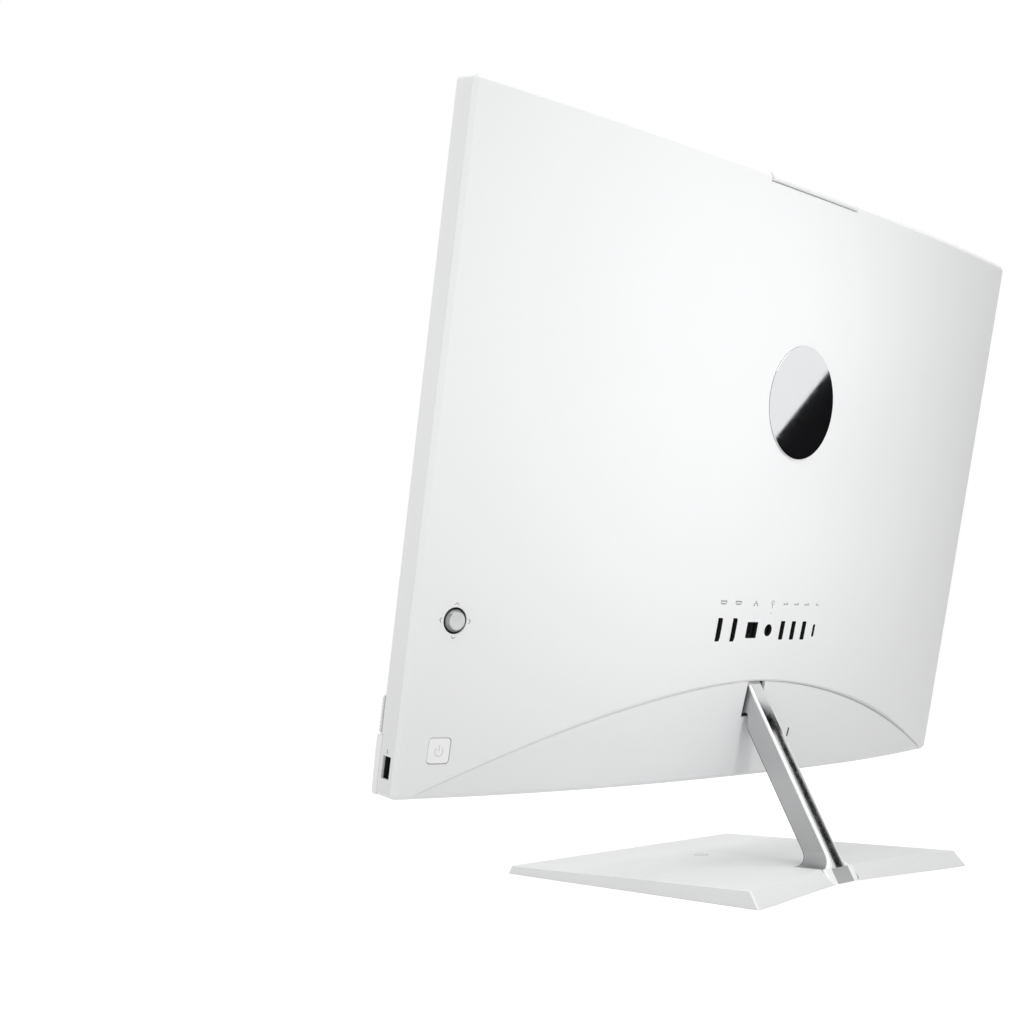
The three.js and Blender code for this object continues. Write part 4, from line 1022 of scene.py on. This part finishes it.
fl = mesh_obj("neck_flange", *box_vf(-30, 30, 20, 69.5, 3.0, 5.6), ["steel"])
fix_normals(fl)
boolean(fl, [([(x, z, y) for x, y, z in prism_vf(circle(2.2, 28, x, y), -2, 12)[0]], prism_vf(circle(2.2, 28, x, y), -2, 12)[1]) for x, y in ((-22, 30), (22, 30), (0, 26))])
fl.data.transform(WORLD)
bv = fl.modifiers.new("b", "BEVEL"); bv.width = 0.0003; bv.segments = 2; bv.limit_method = "ANGLE"; bv.angle_limit = math.radians(50)
place(fl, "stand", "steel")

# ------------------------------------------------------------------ base
REAR_B = [(128.5, 102.4), (103, 99), (73, 93.5), (42, 88.2), (20, 84.7), (0, 83.9)]
REAR_T = [(126, 94.4), (100, 89.6), (72, 84.4), (42, 79.3), (20, 75.6), (0, 74.3)]


def dense(rear, n=14):
    """a smooth curve through the rear edge points"""
    P = [Vector((x, y)) for x, y in rear]
    P = P + [Vector((-20, rear[-2][1]))]
    out = []
    for i in range(len(rear) - 1):
        p0 = P[i - 1] if i else P[0] * 2 - P[1]
        p1, p2, p3 = P[i], P[i + 1], P[i + 2]
        for k in range(n):
            t = k / n
            out.append(0.5 * ((2 * p1) + (p2 - p0) * t + (2 * p0 - 5 * p1 + 4 * p2 - p3) * t * t + (3 * p1 - p0 - 3 * p2 + p3) * t ** 3))
    out.append(Vector(rear[-1]))
    return [(p.x, p.y) for p in out]


def base_loop(rear, half_front, front, inset=0.0):
    r = dense(rear)
    right = [(x * (1 - inset / 128.5), y - inset) for x, y in r]
    left = [(-x, y) for x, y in reversed(right[:-1])]
    nside = 30
    side_l = [(-(rear[0][0] * (1 - inset / 128.5)) + (rear[0][0] - half_front) * k / nside, (right[0][1]) + (front + inset - right[0][1]) * k / nside) for k in range(1, nside)]
    fr = [(-(half_front - inset) + (2 * (half_front - inset)) * k / nside, front + inset) for k in range(nside + 1)]
    side_r = [(-x, y) for x, y in reversed(side_l)]
    return right + left + side_l + fr + side_r


def lerp_loop(a, b, t):
    return [(p[0] + (q[0] - p[0]) * t, p[1] + (q[1] - p[1]) * t) for p, q in zip(a, b)]


LB = base_loop(REAR_B, 128.5, -102.5)
LT = base_loop(REAR_T, 126, -101.7)
rings = []


def zt(p, t):
    return 0.6 + (base_top(p[1]) - 0.6) * t


bi = base_loop(REAR_B, 128.5, -102.5, 0.35)
rings.append([(x, y, 0.6) for x, y in bi])
for t, e in ((0.035, 0.08), (0.08, 0.0)):
    L = lerp_loop(LB, LT, t)
    rings.append([(x * (1 - e / 128.5), y - math.copysign(e, y), 0.6 + (base_top(y) - 0.6) * t) for x, y in L])
for t in (0.3, 0.6, 0.9):
    L = lerp_loop(LB, LT, t)
    rings.append([(x, y, 0.6 + (base_top(y) - 0.6) * t) for x, y in L])
L = lerp_loop(LB, LT, 0.96)
rings.append([(x, y, 0.6 + (base_top(y) - 0.6) * 0.965) for x, y in L])
for e, dz in ((0.12, 0.10), (0.4, 0.02), (0.75, 0.0)):
    L = [(x * (1 - e / 128.5), y - e if y > 0 else y + e) for x, y in LT]
    rings.append([(x, y, base_top(y) - dz) for x, y in L])
V, F = grid_solid(rings)
base = mesh_obj("base_body", V, F, ["shell_base", "inner_white"])
fix_normals(base)


def pocket(k, bottom, roof):
    pts = [(x * (1 - (4 + k) / 128.5), y - 4 - k) for x, y in REAR_T]
    loop = pts + [(-x, y) for x, y in reversed(pts[:-1])] + [(-(122.5 - k), -98.5 + k), (122.5 - k, -98.5 + k)]
    return grid_solid([[(x, y, bottom) for x, y in loop], [(x, y, base_top(y) - roof) for x, y in loop]])


boolean(base, [pocket(0, -5, 2.5)])


def neck_block(e):
    def ringe(h):
        f = 0.0 if h >= 10 else (1.0 if h <= 0 else 1 - math.sqrt(max(0.0, 1 - (1 - h / 10) ** 2)))
        w, fwd = 7.5 + 10 * f + e, 5.5 * f

        def meet(line):
            y = 60.0
            for _ in range(60):
                y = line(base_top(y) + h)
            return y
        rr, ff = meet(rear_line) + e, meet(front_line) - fwd - e
        b = 1.2
        s = [(w, ff + b), (w, rr - b), (w - b, rr), (-w + b, rr), (-w, rr - b), (-w, ff + b), (-w + b, ff), (w - b, ff)]
        return [(x, y, base_top(y) + h) for x, y in s]
    return grid_solid([ringe(h) for h in (-14, 0, 0.05, 0.4, 1.2, 2.6, 5, 10, 12)])


boolean(base, [neck_block(0.2)])
for p in base.data.polygons:
    if p.normal.z < -0.3:
        p.material_index = 1
base.data.transform(WORLD)
base.data.polygons.foreach_set("use_smooth", [True] * len(base.data.polygons))
base.data.set_sharp_from_angle(angle=math.radians(26))
bwa = base.data.attributes.new("bevel_weight_edge", "FLOAT", "EDGE")


def at_corner(p):
    t = (p.z - 0.6) / (base_top(p.y - DY) - 0.6)
    x, y = abs(p.x), p.y - DY
    return t > -0.05 and min(math.hypot(x - 128.5 + 2.5 * t, y - 102.4 + 8 * t), math.hypot(x - 128.5 + 2.5 * t, y + 102.5 - 0.8 * t)) < 0.45


for e in base.data.edges:
    a, b = (base.data.vertices[i].co for i in e.vertices)
    d = (b - a)
    if d.length > 0.05 and abs(d.z) > 0.2 * d.length and at_corner(a) and at_corner(b):
        bwa.data[e.index].value = 1.0
sharp = base.data.attributes.get("sharp_edge")
for e in base.data.edges:
    a, b = (base.data.vertices[i].co for i in e.vertices)
    if sharp and sharp.data[e.index].value and all(abs(p.z - base_top(p.y - DY)) < 0.25 for p in (a, b)) and not (abs(a.x) < 22 and abs(b.x) < 22) and (min(abs(a.x), abs(b.x)) > 115 or min(a.y, b.y) > 70 or max(a.y, b.y) < -95):
        bwa.data[e.index].value = 0.24
# the corner and rim bevels take shell_rim: a painted highlight
base.data.materials.append(MAT["shell_rim"])
place(base, "stand", "white_shell", "base_plate")
bv = base.modifiers.new("corner", "BEVEL"); bv.width = 0.0017; bv.segments = 2; bv.limit_method = "WEIGHT"; bv.material = len(base.data.materials) - 1
bosses = []
for x, y in ((-22, 30), (22, 30), (0, 26)):
    prof_ = [(2.1, 5.9), (3.7, 5.9), (4.0, 6.2), (4.0, base_top(y) - 2.3), (2.1, base_top(y) - 2.3)]
    seg = 32
    v_, f_ = lathe(prof_, seg)
    f_ = f_ + [(k + 4 * seg, (k + 1) % seg + 4 * seg, (k + 1) % seg, k) for k in range(seg)]
    bosses.append(([(a + x, c + y, b) for a, b, c in v_], f_))
o = mesh_obj("base_bosses", *merge(bosses), ["inner_white"], WORLD, smooth=30)
fix_normals(o)
place(o, "stand", "light_grey_plastic")
# faint ring moulded in the top of the base, in the shadow-gap grey: painted shade
ring_pts = []
slope = math.atan(5.2 / 205)
RM = Matrix.Translation((0, -34.5, base_top(-34.5))) @ Matrix.Rotation(slope, 4, "X")
seg = 64
prof_ = [(4.5, -0.05), (4.5, 0.05), (4.7, 0.12), (4.95, 0.05), (4.95, -0.05)]
v_, f_ = lathe(prof_, seg)
f_ = f_ + [(k + 4 * seg, (k + 1) % seg + 4 * seg, (k + 1) % seg, k) for k in range(seg)]
v_ = [tuple(RM @ Vector((a, c, b))) for a, b, c in v_]
o = mesh_obj("base_ring_mark", v_, f_, ["gap"], WORLD, smooth=40)
fix_normals(o)
place(o, "stand", "light_grey_plastic")


# ------------------------------------------------------------------ socket contacts
def contact_rows():
    parts, golds = [], []
    for u in HDMI_U:
        for k in range(9):
            golds.append(box_vf(u + 0.62, u + 0.74, 33, 40.2, ROW_V - 5.4 + k * 1.2, ROW_V - 4.9 + k * 1.2))
    for u in USB_U:
        for k in range(4):
            golds.append(box_vf(u - 0.34, u - 0.22, 33, 40.0, ROW_V - 4.6 + k * 2.6, ROW_V - 3.5 + k * 2.6))
    for k in range(8):
        golds.append(box_vf(LAN_U - 4.6 + k * 1.2, LAN_U - 4.1 + k * 1.2, 32, 39.5, ROW_V + 4.0, ROW_V + 4.4))
    return golds


o = mesh_obj("socket_contacts", *merge(contact_rows()), ["gold"], HEAD)
fix_normals(o)
place(o, "head", "copper")
gold = [box_vf(294, 301.4, 7.18, 7.3, 13.6 + k * 2.4, 14.7 + k * 2.4) for k in range(4)]
o = mesh_obj("side_socket_contacts", *merge(gold), ["gold"], HEAD)
fix_normals(o)
place(o, "head", "copper")

# ------------------------------------------------------------------ finishes for the CAD nodes that stay
# the steel socket shells take the cavity near black: painted shade in the openings
KEEP = {
    "front_frame": ("grey_plastic", 0.25), "lcd_panel": ("panel", 0.15), "backlight_tray": ("tray", 0.3),
    "speaker_baffle": ("grey_plastic", 0.2), "speaker_left": ("black", 0.4), "speaker_right": ("black", 0.4),
    "chassis_plate": ("steel", 0.2), "mainboard": ("pcb", 0.15), "board_screw_1": ("steel", 0.25), "board_screw_2": ("steel", 0.25),
    "board_screw_3": ("steel", 0.25), "board_screw_4": ("steel", 0.25), "cpu_cold_plate": ("copper", 0.4), "heat_pipe": ("copper", 0),
    "heat_exchanger": ("tray", 0.12), "fan_housing": ("black", 0.4), "fan_rotor": ("black", 0.12), "memory_module_1": ("pcb", 0.15),
    "memory_module_2": ("pcb", 0.15), "solid_state_drive": ("pcb_blue", 0.15), "wireless_card": ("pcb_blue", 0.15),
    "video_socket_1": ("cavity", 0.12), "video_socket_2": ("cavity", 0.12), "usb_socket_1": ("cavity", 0.12), "usb_socket_2": ("cavity", 0.12),
    "usb_socket_3": ("cavity", 0.12), "usb_c_socket": ("cavity", 0.1), "network_socket": ("black", 0.15), "power_inlet": ("black", 0.15),
    "side_usb_socket": ("black", 0.12), "hinge_bracket": ("steel", 0.25), "hinge_clutch_left": ("steel", 0.5), "hinge_clutch_right": ("steel", 0.5),
    "button_board": ("pcb", 0.12), "stick_board": ("pcb", 0.1), "stick_housing": ("black", 0.15), "stick_carriage": ("black", 0.12),
    "stick_ring": ("steel", 0.1), "camera_lens": ("lens", 0.3), "camera_guide": ("grey_plastic", 0.3), "hinge_shaft": ("steel", 0.3),
    "weight_plate": ("steel", 0.4), "neck_screw_1": ("steel", 0.2), "neck_screw_2": ("steel", 0.2), "neck_screw_3": ("steel", 0.2),
    "foot_pad_front_left": ("rubber", 0.3), "foot_pad_front_right": ("rubber", 0.3), "foot_pad_rear_left": ("rubber", 0.3),
    "foot_pad_rear_right": ("rubber", 0.3),
}
for name, (mk, bw) in KEEP.items():
    o = NODES[name]
    o.data.materials.clear()
    o.data.materials.append(MAT[mk])
    o.data.polygons.foreach_set("use_smooth", [True] * len(o.data.polygons))
    w = o.modifiers.new("weld", "WELD")
    w.merge_threshold = 0.00001
    if bw:
        b = o.modifiers.new("bevel", "BEVEL")
        b.width = bw / 1000
        b.segments = 2
        b.limit_method = "ANGLE"
        b.angle_limit = math.radians(40)
        b.harden_normals = False

# ------------------------------------------------------------------ stage, light, camera
fm, nt, bsdf = new_mat("floor_white")
tc = nt.nodes.new("ShaderNodeTexCoord")
nz = nt.nodes.new("ShaderNodeTexNoise")
nz.inputs["Scale"].default_value = 40
nt.links.new(tc.outputs["Object"], nz.inputs["Vector"])
mr = nt.nodes.new("ShaderNodeMapRange")
mr.inputs["To Min"].default_value = 0.5
mr.inputs["To Max"].default_value = 0.56
nt.links.new(nz.outputs["Fac"], mr.inputs["Value"])
nt.links.new(mr.outputs[0], bsdf.inputs["Roughness"])
bsdf.inputs["Base Color"].default_value = (0.2, 0.2, 0.2, 1)
bsdf.inputs["Emission Color"].default_value = (1, 1, 1, 1)
bsdf.inputs["Emission Strength"].default_value = 0.86
bsdf.inputs["Specular IOR Level"].default_value = 0.15
bpy.ops.mesh.primitive_circle_add(vertices=96, radius=1.6, fill_type="NGON", location=(0, 0, -0.0002))
floor = bpy.context.object
floor.name = "stage_floor"
floor.data.materials.append(fm)
shade_m, nt, bsdf = new_mat("floor_shade")
bsdf.inputs["Base Color"].default_value = (0.02, 0.02, 0.02, 1)
bsdf.inputs["Emission Color"].default_value = (1, 1, 1, 1)
bsdf.inputs["Emission Strength"].default_value = 0.77
bsdf.inputs["Specular IOR Level"].default_value = 0.0
bpy.ops.mesh.primitive_circle_add(vertices=96, radius=0.46, fill_type="NGON", location=(0, 0.02, -0.0001))
shade = bpy.context.object
shade.name = "floor_shade"
shade.data.materials.append(shade_m)
shade.visible_camera = shade.visible_shadow = shade.visible_transmission = shade.visible_volume_scatter = False


def area(name, loc, target, size, power, size_y=None, colour=(1, 1, 1)):
    d = bpy.data.lights.new(name, "AREA")
    d.energy = power
    d.size = size
    d.color = colour
    if size_y:
        d.shape = "RECTANGLE"
        d.size_y = size_y
    o = bpy.data.objects.new(name, d)
    SCENE.objects.link(o)
    o.location = loc
    o.rotation_mode = "QUATERNION"
    o.rotation_quaternion = (Vector(target) - Vector(loc)).to_track_quat("-Z", "Y")
    return o




def spot(name, loc, target, reach, power, size=0.12):
    d = bpy.data.lights.new(name, "SPOT")
    d.energy = power
    d.shadow_soft_size = size
    d.spot_blend = 1.0
    d.spot_size = 2 * math.atan(reach / (Vector(target) - Vector(loc)).length)
    o = bpy.data.objects.new(name, d)
    SCENE.objects.link(o)
    o.location = loc
    o.rotation_mode = "QUATERNION"
    o.rotation_quaternion = (Vector(target) - Vector(loc)).to_track_quat("-Z", "Y")
    return o


area("top_soft", (0, 0, 2.6), (0, 0, 0), 3.2, 46)
area("front_high", (0.6, -1.6, 1.6), (0, 0, 0.1), 1.5, 3.5)
area("side_soft", (2.2, -0.2, 0.6), (0, 0, 0.25), 1.2, 1.4)
area("rear_high", (0.35, 1.3, 1.3), (0, 0.05, 0.1), 0.6, 2.0)
spot("base_corner", (0.5, 0.7, 1.1), (0.11, 0.055, 0.01), 0.09, 24.0)
spot("neck_fill", (0.9, 0.35, 0.25), (0.0, 0.06, 0.11), 0.08, 3.0)
spot("back_centre", (0.25, 1.5, 0.45), (-0.02, 0.0, 0.28), 0.30, 11.6)
spot("back_left", (0.25, 1.5, 0.45), (0.12, 0.0, 0.345), 0.34, 16.0)


def card(name, pts, strength=0.0):
    """a dark card that only reflections see, as a studio flag is"""
    me = bpy.data.meshes.new(name)
    me.from_pydata(pts, [], [tuple(range(len(pts)))])
    m, nt_, b_ = new_mat(name)
    b_.inputs["Base Color"].default_value = (0.01, 0.01, 0.011, 1)
    b_.inputs["Roughness"].default_value = 1.0
    b_.inputs["Specular IOR Level"].default_value = 0.0
    me.materials.append(m)
    o = bpy.data.objects.new(name, me)
    SCENE.objects.link(o)
    o.visible_camera = o.visible_diffuse = o.visible_shadow = o.visible_transmission = o.visible_volume_scatter = False
    return o


card("flag_neck", [(-0.03235, 0.03779, 0.12844), (-0.03863, 0.03634, 0.13104), (-0.04121, 0.09507, 0.02553), (-0.03154, 0.09563, 0.02452)])
o = card("flag_side", [(-0.55, -0.02, 0.0), (-0.55, 0.36, 0.0), (-0.55, 0.36, 0.60), (-0.55, -0.02, 0.60)])
o.visible_diffuse, o.visible_glossy = True, False
card("flag_badge", [(-0.1927, 0.15357, 0.35995), (-0.10872, 0.1441, 0.28303), (-0.13789, 0.13772, 0.23122), (-0.32123, 0.13896, 0.24128), (-0.29089, 0.15508, 0.37225)])

world = bpy.data.worlds.new("studio")
bpy.context.scene.world = world
world.use_nodes = True
wn, wl = world.node_tree.nodes, world.node_tree.links
wn.clear()
wo = wn.new("ShaderNodeOutputWorld")
bg1, bg2 = wn.new("ShaderNodeBackground"), wn.new("ShaderNodeBackground")
bg1.inputs["Color"].default_value = (1, 1, 1, 1)
bg1.inputs["Strength"].default_value = 0.60
bg2.inputs["Color"].default_value = (1, 1, 1, 1)
bg2.inputs["Strength"].default_value = 1.0
lp = wn.new("ShaderNodeLightPath")
mx = wn.new("ShaderNodeMixShader")
either = wn.new("ShaderNodeMath")
either.operation = "MAXIMUM"
wl.new(lp.outputs["Is Camera Ray"], either.inputs[0])
wl.new(lp.outputs["Is Glossy Ray"], either.inputs[1])
wl.new(either.outputs[0], mx.inputs[0])
wl.new(bg1.outputs[0], mx.inputs[1])
wl.new(bg2.outputs[0], mx.inputs[2])
wl.new(mx.outputs[0], wo.inputs[0])

bpy.context.scene.view_settings.view_transform = "Standard"
bpy.context.scene.view_settings.look = "None"

cam_d = bpy.data.cameras.new("photo_camera")
cam = bpy.data.objects.new("photo_camera", cam_d)
SCENE.objects.link(cam)
cam_d.sensor_width = 36
cam_d.lens = 54.13
cam_d.shift_x, cam_d.shift_y = 0.046, 0.159
az, el = math.radians(135.073), math.radians(1.269)
back = Vector((math.sin(az) * math.cos(el), -math.cos(az) * math.cos(el), math.sin(el)))
cam.location = (0.8948, 0.6235, 0.1607)
cam.rotation_mode = "QUATERNION"
cam.rotation_quaternion = (-back).to_track_quat("-Z", "Y")
cam_d.clip_start, cam_d.clip_end = 0.05, 60
bpy.context.scene.camera = cam
